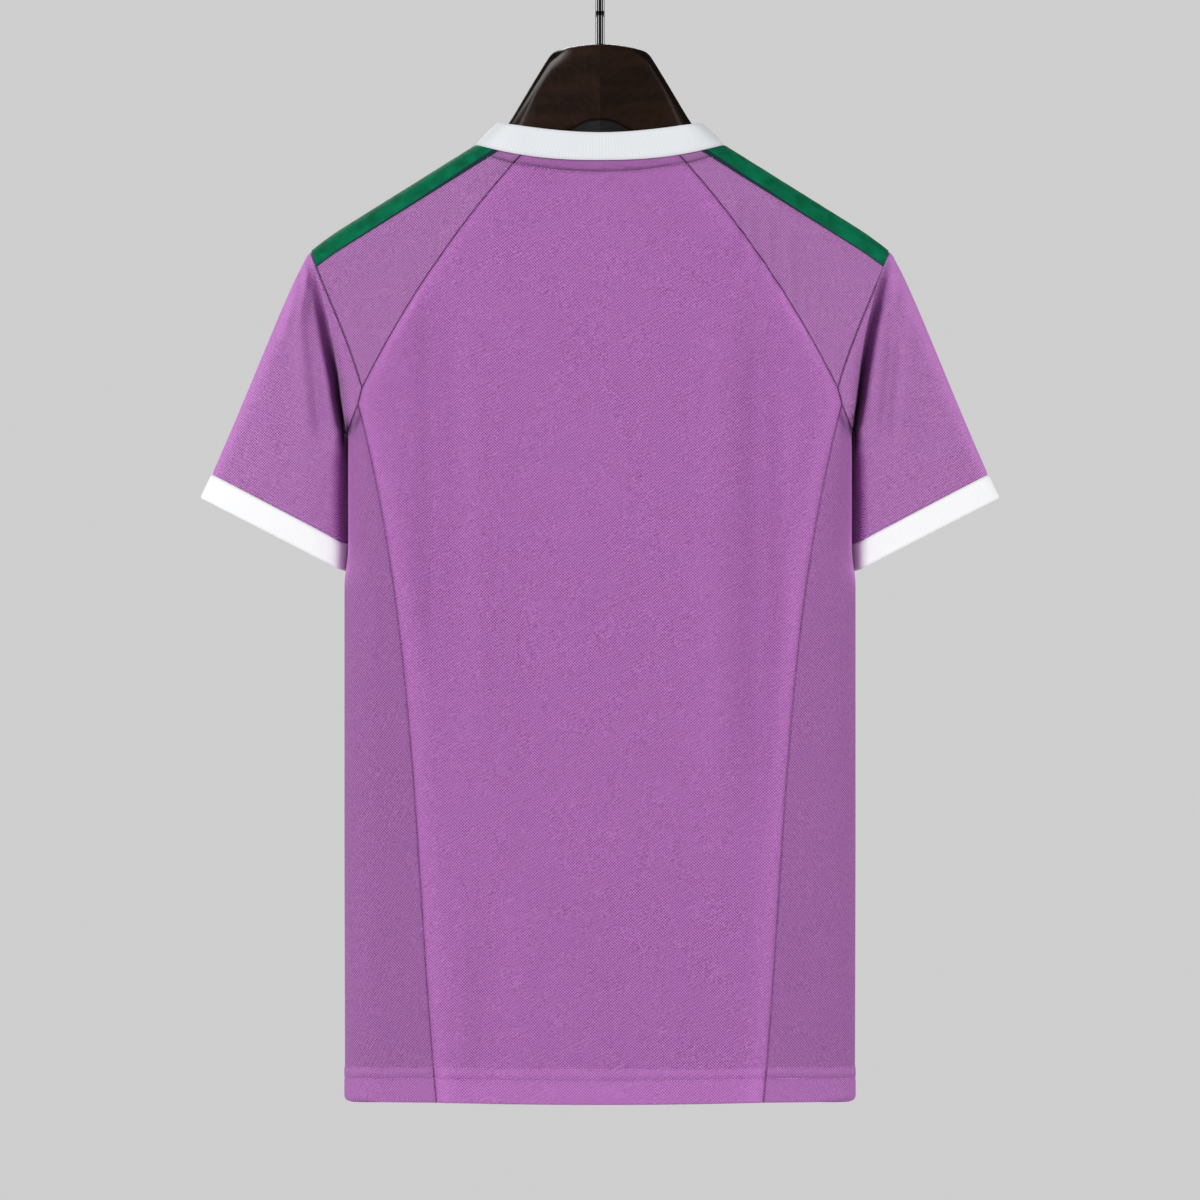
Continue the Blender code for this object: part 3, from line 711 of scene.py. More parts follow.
@dataclass(frozen=True)
class Sewing:
    """How seams, folded edges and stitch rows press the cloth in or raise it, in millimetres, and how dark
    the pieces look: darker seams and rows, with painted light and shade.
    """

    form: JerseyForm
    dip: float = 0.75
    dip_width: float = 0.9
    ridge: float = 0.85
    ridge_at: float = 5
    ridge_width: float = 3.2
    neck_row: float = 8.8
    hem_rows: tuple[float, float] = (26.4, 17.8)
    hem_height: float = 0.55
    hem_reach: float = 40
    neck_height: float = 0.45
    neck_reach: float = 30
    neck_zone: float = 60
    groove: float = 0.32
    groove_width: float = 1.1

    def hem_distance(self, x: float, drop: float) -> float:
        """Return how far a spot lies above the hem's edge."""
        share = min(abs(x) / self.form.side_seam[-1].x, 1)
        return self.form.side_seam[-1].drop + self.form.hem_sag * (1 - share ** 2) - drop

    def seamed(self, near: float, rest: float) -> float:
        """Return the rest of a relief with the dip at a seam, near millimetres away."""
        return lerp(rest, -self.dip, bump(near / self.dip_width))

    def hem(self, place: Place) -> float:
        """Work out the relief of the doubled hem and its two stitch rows.

        Args:
            place: the place on the cloth.

        Returns:
            The height of the relief, in millimetres.
        """
        above = self.hem_distance(place.x, place.drop)
        if above > self.hem_reach:
            return 0
        height = self.hem_height * smooth((self.hem_rows[0] + 1.6 - above) / 1.6)
        height -= sum(self.groove * bump((above - row) / self.groove_width) for row in self.hem_rows)
        ripple = wander(place.x / 5.5, above / 30, 21) * bump((above - 22) / 9)
        return height + 0.16 * ripple

    def neck(self, place: Place) -> float:
        """Return the relief of the topstitched strip below the collar."""
        if place.top > self.neck_reach:
            return 0
        height = self.neck_height * smooth((self.neck_row + 1 - place.top) / 1.2)
        height -= self.groove * bump((place.top - self.neck_row) / self.groove_width)
        return height + 0.12 * wander(place.x / 4, place.top / 20, 5) * bump(place.top / 14)

    def pucker(self, aside: float, drop: float, seed: float) -> float:
        """Return the small uneven puckers that a sewn seam draws across itself."""
        near = bump((aside - 5) / 8)
        return near * (0.22 * wander(aside / 24, drop / 7, seed)
                       + 0.18 * wander(aside / 30, drop / 19, seed + 2))

    def panel(self, place: Place) -> float:
        """Return the relief of the back or front panel."""
        aside = place.aside
        rest = self.ridge * bump((aside - self.ridge_at) / self.ridge_width)
        rest += 0.9 * bump((aside - 11) / 9)
        rest += self.pucker(aside, place.drop, 30 + math.copysign(1, place.x))
        rest += self.neck(place) + self.hem(place)
        return self.seamed(min(aside, place.top), rest)

    def yoke(self, place: Place) -> float:
        """Return the relief of a shoulder yoke."""
        rest = self.neck(place) - 0.12 * bump((place.start - 4) / 3)
        rest += 0.2 * wander((place.x - place.drop * 0.5) / 9, (place.drop + place.x * 0.5) / 38, 41)
        rest += 0.1 * math.sin(place.bottom * 0.9) * bump(place.bottom / 9)
        return self.seamed(place.near, rest)

    def side(self, place: Place) -> float:
        """Return the relief of a side panel."""
        aside = place.aside
        rest = self.pucker(aside, place.drop, 50) + self.hem(place)
        rest += 0.25 * bump((aside - 4.5) / 3)
        return self.seamed(min(aside, place.top), rest)

    def band(self, place: Place) -> float:
        """Return the relief of a shoulder band, which is tape with two sewn edges."""
        near = min(place.aside, place.bottom)
        rest = 0.5 * smooth(near / 2.2) + 0.12 * wander(place.x / 8, place.drop / 8, 61)
        rest -= 0.25 * bump((place.aside - 2.4) / 0.8)
        return self.seamed(near, rest) * smooth(place.top / 2)

    def sleeve(self, place: Place) -> float:
        """Return the relief of a sleeve."""
        rest = 0.45 * bump((place.top - 5) / 3.2)
        rest += 0.16 * wander(place.x / 7, place.drop / 7, 71) * bump(place.top / 14)
        rest += 0.16 * wander(place.x / 8, place.drop / 8, 73) * bump(place.bottom / 12)
        return self.seamed(min(place.top, place.bottom), rest)

    def tone(self, place: Place) -> float:
        """Return how dark a piece of the body is, below 0 lighter: painted shade in its folds and painted
        light on their ridges, a darker strip above the neck's stitch row with a painted shadow along it,
        and a hem band lighter where the cloth lies doubled, with painted shade just above its lower row.
        """
        # Painted shade in the folds, then a darker strip above the neck's stitch row and a painted shadow
        # along that row.
        dark = self.form.fold_shade(place.x, place.drop, place.face)
        dark += 0.15 * smooth((self.neck_row + 0.6 - place.top) / 0.8)
        dark += 0.42 * bump((place.top - self.neck_row + 0.5) / 1.7)
        # The hem band is lighter where the cloth lies doubled; painted shade falls just above its lower
        # stitch row.
        above = self.hem_distance(place.x, place.drop)
        dark -= 0.13 * smooth((self.hem_rows[0] - above) / 1.4)
        return dark + 0.1 * bump((above - self.hem_rows[1] - 1.5) / 2.4)

    def panel_tone(self, place: Place) -> float:
        """Return how dark a panel is, with painted light on the ridges along its raised seams."""
        aside = place.aside
        # Painted light on the raised ridges beside the seams.
        pale = 0.05 + 0.035 * smooth((place.drop - 150) / 60)
        sharp = 0.16 * bump((place.drop - 130) / 42) * bump((aside - 1.8) / 4.5)
        return self.tone(place) - pale * bump((aside - 5) / 9) - sharp

    def side_tone(self, place: Place) -> float:
        """Return how dark a side panel is; painted light brightens its back edge beside the sleeve."""
        out = self.form.side_distance(place.x, place.drop)
        # Painted light on the back's side edge, beside the sleeve.
        beside = smooth((place.drop - 212) / 12) * smooth((345 - place.drop) / 30)
        if place.face == FRONT:
            return self.tone(place)
        return self.tone(place) - beside * (0.38 * bump(out / 1.8) + 0.16 * bump(out / 8))

    def plain_tone(self, place: Place) -> float:
        """Return how dark a white piece is along its seam."""
        return 0.25 * bump(place.near / 1.2)

    def band_tone(self, place: Place) -> float:
        """Return how dark a band is along its seams and where the neck's row crosses it."""
        return self.plain_tone(place) + 0.45 * bump((place.top - self.neck_row) / 0.9)

    def stitch(self, place: Place) -> float:
        """Return the distance from the nearest stitch row, which passes 0 on each row."""
        upper, lower = self.hem_rows
        above = self.hem_distance(place.x, place.drop)
        hem = above - upper if above > (upper + lower) / 2 else lower - above
        return hem if place.top > self.neck_zone else place.top - self.neck_row

    def side_stitch(self, place: Place) -> float:
        """Return the distance from the hem's stitch rows on a side panel."""
        return self.stitch(place._replace(top=FAR))

    def cuff(self, place: Place) -> float:
        """Return the relief of a cuff."""
        rest = 0.55 * smooth(place.top / 2.5) + 0.1 * wander(place.x / 9, place.drop / 9, 81)
        return self.seamed(place.top, rest)

    def collar(self, place: Place) -> float:
        """Return the relief of the collar."""
        uneven = 0.12 * wander(place.x / 9, place.drop / 9, 91)
        return (0.5 + uneven) * smooth(place.top / 2.5)


def half_loops(back: list[Vector], front: list[Vector]) -> list[Vector]:
    """Join two half loops that share both ends into one closed loop."""
    return back + list(reversed(front))[1:-1]


def around_marks(rows: Rows, turn: float) -> Marks:
    """Return a UV map whose u runs round a ring and whose v runs across it.

    Args:
        rows: the ring's loops of points, in millimetres.
        turn: the length of one turn, in metres.

    Returns:
        The map's values in metres, row by row.
    """
    around = running(rows[0] + rows[0][:1])
    across = running([row[len(row) // 4] for row in rows])
    return [[(u / around[-1] * turn, v * MM) for u in around[:-1]] for v in across]


@dataclass
class Part:
    """A group of pieces of cloth on the jersey's form."""

    form: JerseyForm
    sewing: Sewing
    wall: float = 1.3


@dataclass
class Body(Part):
    """The back and front panels and the two side panels."""

    corner_rows: float = 36

    def panel_rows(self, face: int) -> Rows:
        """Work out the back or front panel.

        Args:
            face: -1 or +1.

        Returns:
            Its points, one row for each step down its seams.
        """
        form = self.form
        edge = (form.raglan_spots(face) + form.lower_armhole_spots()[1:] + form.side_spots()[1:])
        start = edge[0]
        rows = []
        for i, end in enumerate(edge):
            row = []
            for u in self.columns(end.x):
                neck_bow = form.neck_drop(u * start.x, face) - start.drop
                fade = smooth(1 - i / form.raglan_steps)
                hem = smooth((i - len(edge) + form.hem_steps + 1) / form.hem_steps)
                drop = end.drop + neck_bow * fade + form.hem_sag * (1 - u * u) * hem
                row.append(form.point(u * end.x, drop, face))
            rows.append(row)
        return rows

    def columns(self, reach: float) -> list[float]:
        """Return a panel row's places across it, from -1 to 1, finer beside the seams."""
        form = self.form
        beside = [1 - gap / reach for gap in form.seam_columns]
        inner = form.panel_half_steps - len(beside)
        half = [beside[-1] * k / (inner + 1) for k in range(inner + 1)] + beside[::-1]
        return [-u for u in half[:0:-1]] + half

    def side_rows(self, hand: int) -> Rows:
        """Work out a side panel.

        Args:
            hand: -1 or +1.

        Returns:
            Its points, rows down from the underarm, each from the back seam to the front seam.
        """
        form = self.form
        top = form.underarm_spots()
        reach = form.underarm.drop - form.side_top.drop
        rows = []
        for i, seam in enumerate(form.side_spots()):
            half = [seam]
            across = form.half_width(seam.drop) - seam.x
            for k in range(1, form.underarm_steps + 1):
                dip = (top[k].drop - form.side_top.drop) / reach
                drop = seam.drop + dip * reach * smooth(1 - i / self.corner_rows)
                width = form.half_width(max(drop, form.underarm.drop))
                half.append(Spot(width - across * form.edge_share(k), drop))
            if i == 0:
                half = top
            rows.append(form.points(half, hand, BACK) + form.points(half[-2::-1], hand, FRONT))
        return rows

    def pieces(self) -> list[Cloth]:
        """Return the four pieces of the body."""
        sewing, seams = self.sewing, ("top", "start", "end")
        made = [Cloth(f"{label}_cloth", self.panel_rows(face), self.wall, seams,
                      Work(sewing.panel, sewing.panel_tone, sewing.stitch))
                for label, face in (("back", BACK), ("front", FRONT))]
        for name, hand in HANDS.items():
            rows = self.side_rows(hand)
            marks = [[(u, p.z * MM) for u, p in zip(from_middle(row), row)] for row in rows]
            work = Work(sewing.side, sewing.side_tone, sewing.side_stitch)
            made.append(Cloth(f"side_cloth_{name}", rows, self.wall, seams, work, marks))
        return made


@dataclass
class Shoulders(Part):
    """The four yokes and the two bands along the shoulder lines."""

    def band_rows(self, hand: int) -> Rows:
        """Return a band's points, rows from the neck to the armhole, back to front."""
        form = self.form
        near = form.band_distances()
        columns = [form.points(form.band_spots(distance, face), hand, face)
                   for face, distances in ((BACK, near[::-1]), (FRONT, near[1:]))
                   for distance in distances]
        return [list(row) for row in zip(*columns)]

    def pieces(self) -> list[Cloth]:
        """Return the yokes and the bands."""
        sewing, made = self.sewing, []
        for name, hand in HANDS.items():
            for label, face in (("back", BACK), ("front", FRONT)):
                rows = [self.form.points(row, hand, face) for row in self.form.yoke_spots(face)]
                work = Work(sewing.yoke, sewing.tone, sewing.stitch)
                made.append(Cloth(f"yoke_cloth_{label}_{name}", rows, self.wall, EDGES, work))
            rows = self.band_rows(hand)
            along = running([row[len(row) // 2] for row in rows])
            marks = [[(u * MM, v) for v in from_middle(row)] for u, row in zip(along, rows)]
            work = Work(sewing.band, sewing.band_tone)
            made.append(Cloth(f"band_cloth_{name}", rows, self.wall, EDGES, work, marks))
        return made


@dataclass
class Sleeves(Part):
    """The two sleeves and their cuffs, set back behind the body's side edges."""

    cuff_wall: float = 1.8
    cuff_steps: int = 14
    strip_steps: int = 14
    fold_steps: tuple = (0.4, 0.8, 1.3, 1.9, 2.6, 3.4, 4.4, 5.6, 7, 8.7, 10.8, 13.4, 16.5, 20.2)
    lower_steps: int = 50
    cuff_seam: tuple = (Spot(297.2, 249.4), Spot(194.4, 303))
    cuff_edge: tuple = (Spot(305.4, 267), Spot(195.4, 323.6))
    cuff_depth: float = 14.5
    cuff_turn: float = 0.236
    ways: tuple = ((0, 50, 21, 92), (0.4, 36, 30, 70), (0.72, 32, 24, 50),
                   (0.82, 44, 14, 40), (1, 84, 16, 30))
    valleys: dict = field(default_factory=lambda: {
        -1: ((221.5, 79), (219.6, 89.5), (216.5, 98.7), (213.8, 107.9), (211.7, 117),
             (209.4, 126.2), (207.3, 135.4), (205.6, 144.6), (203.5, 153.8), (202, 162.9),
             (200.1, 172.1), (199, 181.3), (198, 190.5), (196.6, 199.7), (195.2, 208.8),
             (193.9, 218), (193.2, 228), (192.8, 300), (193, 332)),
        1: ((221.5, 79), (217.6, 89.5), (213.4, 100.2), (210.2, 110.9), (207.6, 121.6), (204.8, 132.3),
            (202.6, 143.1), (201, 153.8), (199.3, 164.5), (198, 175.2), (196.6, 185.9), (195.3, 196.6),
            (193.6, 207.3), (192.4, 218), (192.3, 228), (192.4, 300), (192.8, 332))})
    valley_depth: tuple = ((79, 1.5), (90, 5), (108, 11), (135, 18), (175, 23),
                           (222, 25), (262, 15), (290, 10), (308, 6.5), (332, 5))
    valley_width: tuple = ((79, 5), (108, 7), (145, 6.5), (185, 4.6), (205, 3.6),
                           (225, 4.2), (245, 7), (332, 8))
    tuck_in: float = 3.2
    behind_edge: float = 13.5
    inner_from: float = 0.84
    front_push: float = 10
    edge_turn: float = 5
    calm_rounds: int = 24
    soft_folds: tuple = (
        (226.5, 94, 212, 240, 5.2, 4.2), (233, 100, 224, 232, 6, -1.8),
        (243, 112, 240, 250, 8, 1.1), (262, 170, 258, 268, 11, -0.9))
    tip_wrinkles: dict = field(default_factory=lambda: {
        -1: ((223.5, 86, 231, 138, 2.2, -1.2), (228, 92, 239, 150, 2.4, 1.1),
             (233, 98, 248, 158, 2.6, -0.9), (222, 92, 222.5, 138, 2.2, 0.9)),
        1: ((225.3, 88, 225.3, 156, 3.4, -2.2), (231, 96, 234, 160, 3.2, 1))})
    path_steps: int = 60
    fold_range: tuple[float, float] = (1.5, 24)
    underarm_folds: tuple[float, float] = (18, 3)
    deepest: float = 25

    def cuff_spot(self, ends: tuple[Spot, Spot], share: float) -> Spot:
        """Return the spot of a cuff line at a share of the way round one face."""
        return between(*ends, (1 - math.cos(math.pi * share)) / 2)

    def spot(self, start: Spot, share: float, step: float) -> Spot:
        """Return a sleeve's spot at a step of its way from the armhole to the cuff seam.

        Args:
            start: the spot on the armhole.
            share: how far round the sleeve it is, from 0 at the tip to 1 at the underarm.
            step: the share of the way to the cuff seam.

        Returns:
            The spot on the sleeve.
        """
        _, angle, away, home = eased(self.ways, share)
        end = self.cuff_spot(self.cuff_seam, share)
        angle = math.radians(angle)
        outer = [a - b for a, b in zip(self.form.armhole[0], self.cuff_seam[0])]
        lean = lerp(outer[0] / math.hypot(*outer), 0, smooth(share))
        rise = -math.sqrt(1 - lean * lean)
        leave = Spot(start.x + math.cos(angle) * away, start.drop + math.sin(angle) * away)
        arrive = Spot(end.x + lean * home, end.drop + rise * home)
        return bezier((start, leave, arrive, end), step)

    def beyond_valley(self, hand: int, spot: Spot) -> float:
        """Measure how far a spot lies from the valley between a sleeve and the body.

        Args:
            hand: -1 or +1.
            spot: the spot, with a positive x on either hand.

        Returns:
            The distance in millimetres, below 0 on the body's side.
        """
        best, sign = 1e9, 1
        line = self.valleys[hand]
        for (xa, da), (xb, db) in zip(line, line[1:]):
            run, fall = xb - xa, db - da
            t = ((spot.x - xa) * run + (spot.drop - da) * fall) / (run * run + fall * fall)
            t = min(max(t, 0), 1)
            gap = math.hypot(spot.x - xa - run * t, spot.drop - da - fall * t)
            if gap < best:
                best = gap
                sign = 1 if (spot.x - xa) * fall - (spot.drop - da) * run >= 0 else -1
        return best * sign

    def recess(self, hand: int, spot: Spot) -> float:
        """Return how far the sleeve lies behind the body's plane at a spot."""
        beyond = self.beyond_valley(hand, spot)
        full = eased(self.valley_depth, spot.drop)[1]
        steep = smooth((beyond + 0.4) / 1.6)
        narrow = bump(max(beyond - 1.2, 0) / eased(self.valley_width, spot.drop)[1])
        return full * steep * (0.24 * bump(beyond / 22) + 0.76 * narrow)

    def tone(self, place: Place) -> float:
        """Work out how dark a sleeve is: its painted light and shade.

        Args:
            place: the place on the sleeve.

        Returns:
            The tone: painted shade deep in the valley, where the body's edge rolls away, at the underarm
                corner and in the folds, and painted light, below 0, along the outer edge.
        """
        if place.face == FRONT:
            return 0
        hand = -1 if place.x < 0 else 1
        beyond = self.beyond_valley(hand, Spot(abs(place.x), place.drop))
        full = eased(self.valley_depth, place.drop)[1] / self.deepest
        # Painted shade in the valley, where the body's edge rolls away beside it, and at the underarm
        # corner.
        low = bump((place.drop - 212) / 36)
        deep = smooth((beyond + 0.2) / 1.2) * bump(max(beyond - 1.2, 0) / lerp(4.6, 3, low))
        roll = 0.34 * bump(min(beyond, 0) / 4.2) * smooth((place.drop - 120) / 60)
        roll *= 1 - smooth((beyond + 0.2) / 1.2)
        corner = math.hypot(abs(place.x) - 195, place.drop - 223)
        # Painted light low beside the right valley, and a painted highlight along the outer edge.
        light = 0.13 * bump(beyond / 9) * smooth((place.drop - 240) / 20) * (hand > 0)
        (xa, da), (xb, db) = self.form.armhole[0], self.cuff_seam[0]
        aside = (abs(place.x) - xa) * (db - da) - (place.drop - da) * (xb - xa)
        rim = 0.26 * bump(aside / math.hypot(xb - xa, db - da) / 6)
        shade = sum(fold.shade(abs(place.x), place.drop) for fold in self.folds(hand, BACK))
        deep *= lerp(0.5, 0.8, low) * full * full
        return deep + roll + 0.45 * bump(corner / 7) + shade - rim - light

    def crossing(self, hand: int, path: list[Spot], lengths: list[float]) -> float:
        """Return how far along a path of the sleeve it meets the valley line."""
        for k in range(1, len(path)):
            near, far = (self.beyond_valley(hand, path[n]) for n in (k - 1, k))
            if far > 0 and near <= 0:
                return lerp(lengths[k - 1], lengths[k], -near / (far - near))
        return 0 if path[0].drop < self.form.side_top.drop else self.fold_range[1]

    def path_shares(self, hand: int, start: Spot, share: float) -> list[float]:
        """Work out where a sleeve's rows cross one path, close together at the valley.

        Args:
            hand: -1 or +1.
            start: the spot on the armhole that the path comes from.
            share: how far round the sleeve it is.

        Returns:
            The shares of the way to the cuff seam.
        """
        form = self.form
        fine = [self.spot(start, share, k / self.path_steps) for k in range(self.path_steps + 1)]
        lengths = running(fine, math.dist)
        near, far = self.fold_range
        fold = min(max(self.crossing(hand, fine, lengths), near), far)
        below = start.drop - form.side_top.drop
        if below > 0:
            reach = form.underarm.drop - form.side_top.drop
            fold = lerp(*self.underarm_folds, below / reach)
        spans = [fold * dense_ends(k / self.strip_steps, 0.6) for k in range(self.strip_steps + 1)]
        spans += [fold + gap for gap in self.fold_steps]
        last = spans[-1]
        spans += [lerp(last, lengths[-1], 1 - (1 - k / self.lower_steps) ** 1.25)
                  for k in range(1, self.lower_steps + 1)]
        shares, k = [], 0
        for span in spans:
            while k < self.path_steps - 1 and lengths[k + 1] < span:
                k += 1
            part = (span - lengths[k]) / (lengths[k + 1] - lengths[k])
            shares.append((k + part) / self.path_steps)
        return [0, *shares[1:-1], 1]

    def folds(self, hand: int, face: int) -> list[Fold]:
        """Return a sleeve's soft folds; the fine ones by the tip show on its back only."""
        shift = 3 if hand > 0 else 0
        made = [Fold(row[0] + shift, row[1], row[2] + shift, *row[3:]) for row in self.soft_folds]
        return made + [Fold(*row) for row in self.tip_wrinkles[hand] if face == BACK]

    def fold_press(self, hand: int, face: int, spot: Spot) -> float:
        """Return how deep the sleeve's soft folds press in at a spot."""
        total = sum(fold.press(*spot) for fold in self.folds(hand, face))
        total += 1.1 * wander(spot.x / 46 + hand, spot.drop / 95, 13 + face)
        return total + 0.3 * wander(spot.x / 16, spot.drop / 42 + hand, 17 + face)

    def loop_point(self, hand: int, face: int, start: Spot, share: float, step: float,
                   spot: Spot) -> Vector:
        """Return the point of a sleeve or cuff at a spot of its loop.

        Args:
            hand: -1 or +1.
            face: -1 or +1.
            start: the spot on the armhole that the loop's point comes from.
            share: how far round it is, from 0 at the outer edge to 1 at the inner.
            step: the share of the way to the cuff seam, 1 on the cuff.
            spot: the spot itself.

        Returns:
            The point, in millimetres.
        """
        depth = lerp(self.form.depth(hand * start.x, start.drop, face),
                     self.cuff_depth * math.sin(math.pi * share), smooth(step))
        beyond = self.beyond_valley(hand, spot)
        outside = max(smooth((beyond + 1) / 2), smooth((spot.drop - 214) / 8))
        depth = lerp(self.form.depth(hand * spot.x, spot.drop, face), depth, outside)
        outline = smooth(depth / 8)
        depth -= self.fold_press(hand, face, spot) * smooth(step / 0.12) * outline
        both = smooth((share - 0.62) / 0.38)
        inner = smooth((share - self.inner_from) / (1 - self.inner_from)) * outside
        back = self.recess(hand, spot) * smooth(share / 0.12)
        behind = back if face == BACK else min(back, self.front_push) * both
        behind = lerp(behind, self.behind_edge, inner * smooth(step / 0.05))
        tuck = self.tuck_in * inner * smooth(step / 0.04)
        return point_at(hand * (spot.x - tuck), spot.drop, face * depth + behind)

    def loops(self, hand: int, way: Callable[[Spot, float], list[tuple[float, Spot]]]) -> Rows:
        """Work out a sleeve or a cuff.

        Args:
            hand: -1 or +1.
            way: gives the steps and spots below an armhole spot and its share of the way round.

        Returns:
            Its points, loops from the armhole's side to the wearer's hand.
        """
        halves = []
        for face in FACES:
            starts = zip(self.form.armhole_spots(face), self.form.around_shares(face))
            columns = [[self.loop_point(hand, face, start, share, *place)
                        for place in way(start, share)] for start, share in starts]
            halves.append([list(row) for row in zip(*columns)])
        return [half_loops(back, front) for back, front in zip(*halves)]

    def sleeve_rows(self, hand: int) -> Rows:
        """Return a sleeve's points, loops from the armhole to the cuff seam."""
        return self.calmed(self.loops(hand, lambda start, share: [
            (step, self.spot(start, share, step))
            for step in self.path_shares(hand, start, share)]))

    def cuff_rows(self, hand: int) -> Rows:
        """Return a cuff's points, loops from the cuff seam to the sleeve's open end."""
        lines = [[between(seam, edge, i / self.cuff_steps)
                  for seam, edge in zip(self.cuff_seam, self.cuff_edge)]
                 for i in range(self.cuff_steps + 1)]
        return self.loops(hand, lambda start, share: [(1, self.cuff_spot(ends, share)) for ends in lines])

    def calmed(self, rows: Rows) -> Rows:
        """Draw a sleeve's loops smooth by the underarm, without drawing them in.

        Args:
            rows: the sleeve's loops, which are changed.

        Returns:
            The same loops.
        """
        shares = half_loops(*(list(self.form.around_shares(face)) for face in FACES))
        pulls = [0.5 * smooth((share - 0.7) / 0.12) for share in shares]
        for turn in range(self.calm_rounds):
            for i in range(1, len(rows) - 1):
                fade = smooth(i / 3) * (1 - smooth((i - 40) / 18))
                fade *= -1.05 if turn % 2 else 1
                row = rows[i]
                around = [(a + b) / 2 for a, b in zip(row[-1:] + row[:-1], row[1:] + row[:1])]
                rows[i] = [p.lerp(q, pull * fade) for p, q, pull in zip(row, around, pulls)]
        return rows

    def pieces(self) -> list[Cloth]:
        """Return the sleeves and the cuffs."""
        made = []
        for name, hand in HANDS.items():
            rows = self.sleeve_rows(hand)
            marks = [[((abs(p.x) - min(abs(p.y), self.edge_turn)) * MM, p.z * MM) for p in row]
                     for row in rows]
            made.append(Cloth(f"sleeve_cloth_{name}", rows, self.wall, ("top", "bottom"),
                              Work(self.sewing.sleeve, self.tone), marks, True))
            rows = self.cuff_rows(hand)
            made.append(Cloth(f"cuff_rib_{name}", rows, self.cuff_wall, ("top",),
                              Work(self.sewing.cuff, self.sewing.plain_tone),
                              around_marks(rows, self.cuff_turn), True, self.cuff_turn))
        return made


@dataclass
class Collar(Part):
    """The ribbed ring round the neck."""

    wall: float = 2
    steps: int = 14
    half_width: float = 78.6
    side_drop: float = -19.2
    back_drop: float = -11
    back_power: float = 1.8
    front_drop: float = 59.5
    depth: float = 23
    edge_round: float = 11
    swell: float = 0.8
    turn: float = 0.46

    def neck_half(self, face: int, panel_top: list[Vector]) -> list[Vector]:
        """Return the neck seam's points on one face, from the right shoulder to the left."""
        form = self.form
        band = [form.band_spots(distance, face)[0] for distance in form.band_distances()]
        right = (*band, *form.yoke_spots(face)[0][::-1][1:])
        return [*form.points(right, 1, face), *panel_top[-2:0:-1], *form.points(right[::-1], -1, face)]

    def top(self, point: Vector, face: int) -> Vector:
        """Find the point of the collar's upper edge over a point of the neck seam.

        Args:
            point: the point of the seam.
            face: -1 or +1.

        Returns:
            The point of the edge, in millimetres.
        """
        share = max(-1, min(1, point.x / self.form.neck_point.x))
        if face == BACK:
            drop = lerp(self.back_drop, self.side_drop, abs(share) ** self.back_power)
        else:
            drop = lerp(self.side_drop, self.front_drop, math.sqrt(1 - share * share))
        x = share * self.half_width
        inside = (self.form.shoulder_distance(x, drop)
                  - self.form.shoulder_distance(self.half_width, self.side_drop))
        return point_at(x, drop, face * self.depth * rounded(inside / self.edge_round))

    def pieces(self, panels: list[Cloth]) -> list[Cloth]:
        """Return the collar, from the neck seam to its upper edge.

        Args:
            panels: the back and the front panel, whose upper rows are part of the neck seam.

        Returns:
            A list of the one piece.
        """
        seams = [self.neck_half(face, panel.rows[0]) for face, panel in zip(FACES, panels)]
        rows = []
        for i in range(self.steps + 1):
            share = i / self.steps
            swell = self.swell * math.sin(math.pi * share)
            rows.append(half_loops(*(
                [point.lerp(self.top(point, face), share)
                 + Vector((point.x, point.y, 0)).normalized() * swell for point in seam]
                for face, seam in zip(FACES, seams))))
        return [Cloth("collar_rib", rows, self.wall, ("top",),
                      Work(self.sewing.collar, self.sewing.plain_tone),
                      around_marks(rows, self.turn), True, self.turn)]


class Sock:
    """A value that a node gives; sums of values are written as sums."""

    def __init__(self, graph: Graph, socket: NodeSocket) -> None:
        """Keep the graph and the socket that gives the value."""
        self.graph = graph
        self.socket = socket

    def other(self, name: str) -> Sock:
        """Return another value that the same node gives."""
        return Sock(self.graph, self.socket.node.outputs[name])

    def __add__(self, other: Sock | float) -> Sock:
        """Return the sum."""
        return self.graph.maths("ADD", self, other)

    __radd__ = __add__

    def __sub__(self, other: Sock | float) -> Sock:
        """Return the difference."""
        return self.graph.maths("SUBTRACT", self, other)

    def __rsub__(self, other: float) -> Sock:
        """Return the difference from a plain number."""
        return self.graph.maths("SUBTRACT", other, self)

    def __mul__(self, other: Sock | float) -> Sock:
        """Return the product."""
        return self.graph.maths("MULTIPLY", self, other)

    __rmul__ = __mul__

    def sine(self) -> Sock:
        """Return the sine of this number, in radians."""
        return self.graph.maths("SINE", self)

    def size(self) -> Sock:
        """Return this number without its sign."""
        return self.graph.maths("ABSOLUTE", self)

    def step(self, low: float, high: float) -> Sock:
        """Return a smooth rise from 0 at low to 1 at high."""
        return self.graph.node("ShaderNodeMapRange", {"interpolation_type": "SMOOTHSTEP"},
                               {"Value": self, "From Min": low, "From Max": high})


class Graph:
    """The nodes of one tree, made and joined by short calls."""

    def __init__(self, tree: NodeTree) -> None:
        """Keep the tree and empty it."""
        self.tree = tree
        self.tree.nodes.clear()

    def node(self, kind: str, settings: dict[str, object] | None = None,
             inputs: dict[int | str, object] | None = None, out: int | str = 0) -> Sock | None:
        """Make a node.

        Args:
            kind: the node's type name.
            settings: its own properties, which are set first.
            inputs: the values or links of its inputs, by name or number.
            out: the name or number of the output that is wanted.

        Returns:
            That output, or None for a node that has none.
        """
        made = self.tree.nodes.new(kind)
        for name, value in (settings or {}).items():
            setattr(made, name, value)
        for key, value in (inputs or {}).items():
            socket = made.inputs[key]
            if isinstance(value, Sock):
                self.tree.links.new(value.socket, socket)
            else:
                socket.default_value = (*value, 1) if socket.type == "RGBA" else value
        return Sock(self, made.outputs[out]) if made.outputs else None

    def maths(self, operation: str, *values: Sock | float) -> Sock:
        """Return the result of a Math node."""
        return self.node("ShaderNodeMath", {"operation": operation}, dict(enumerate(values)))


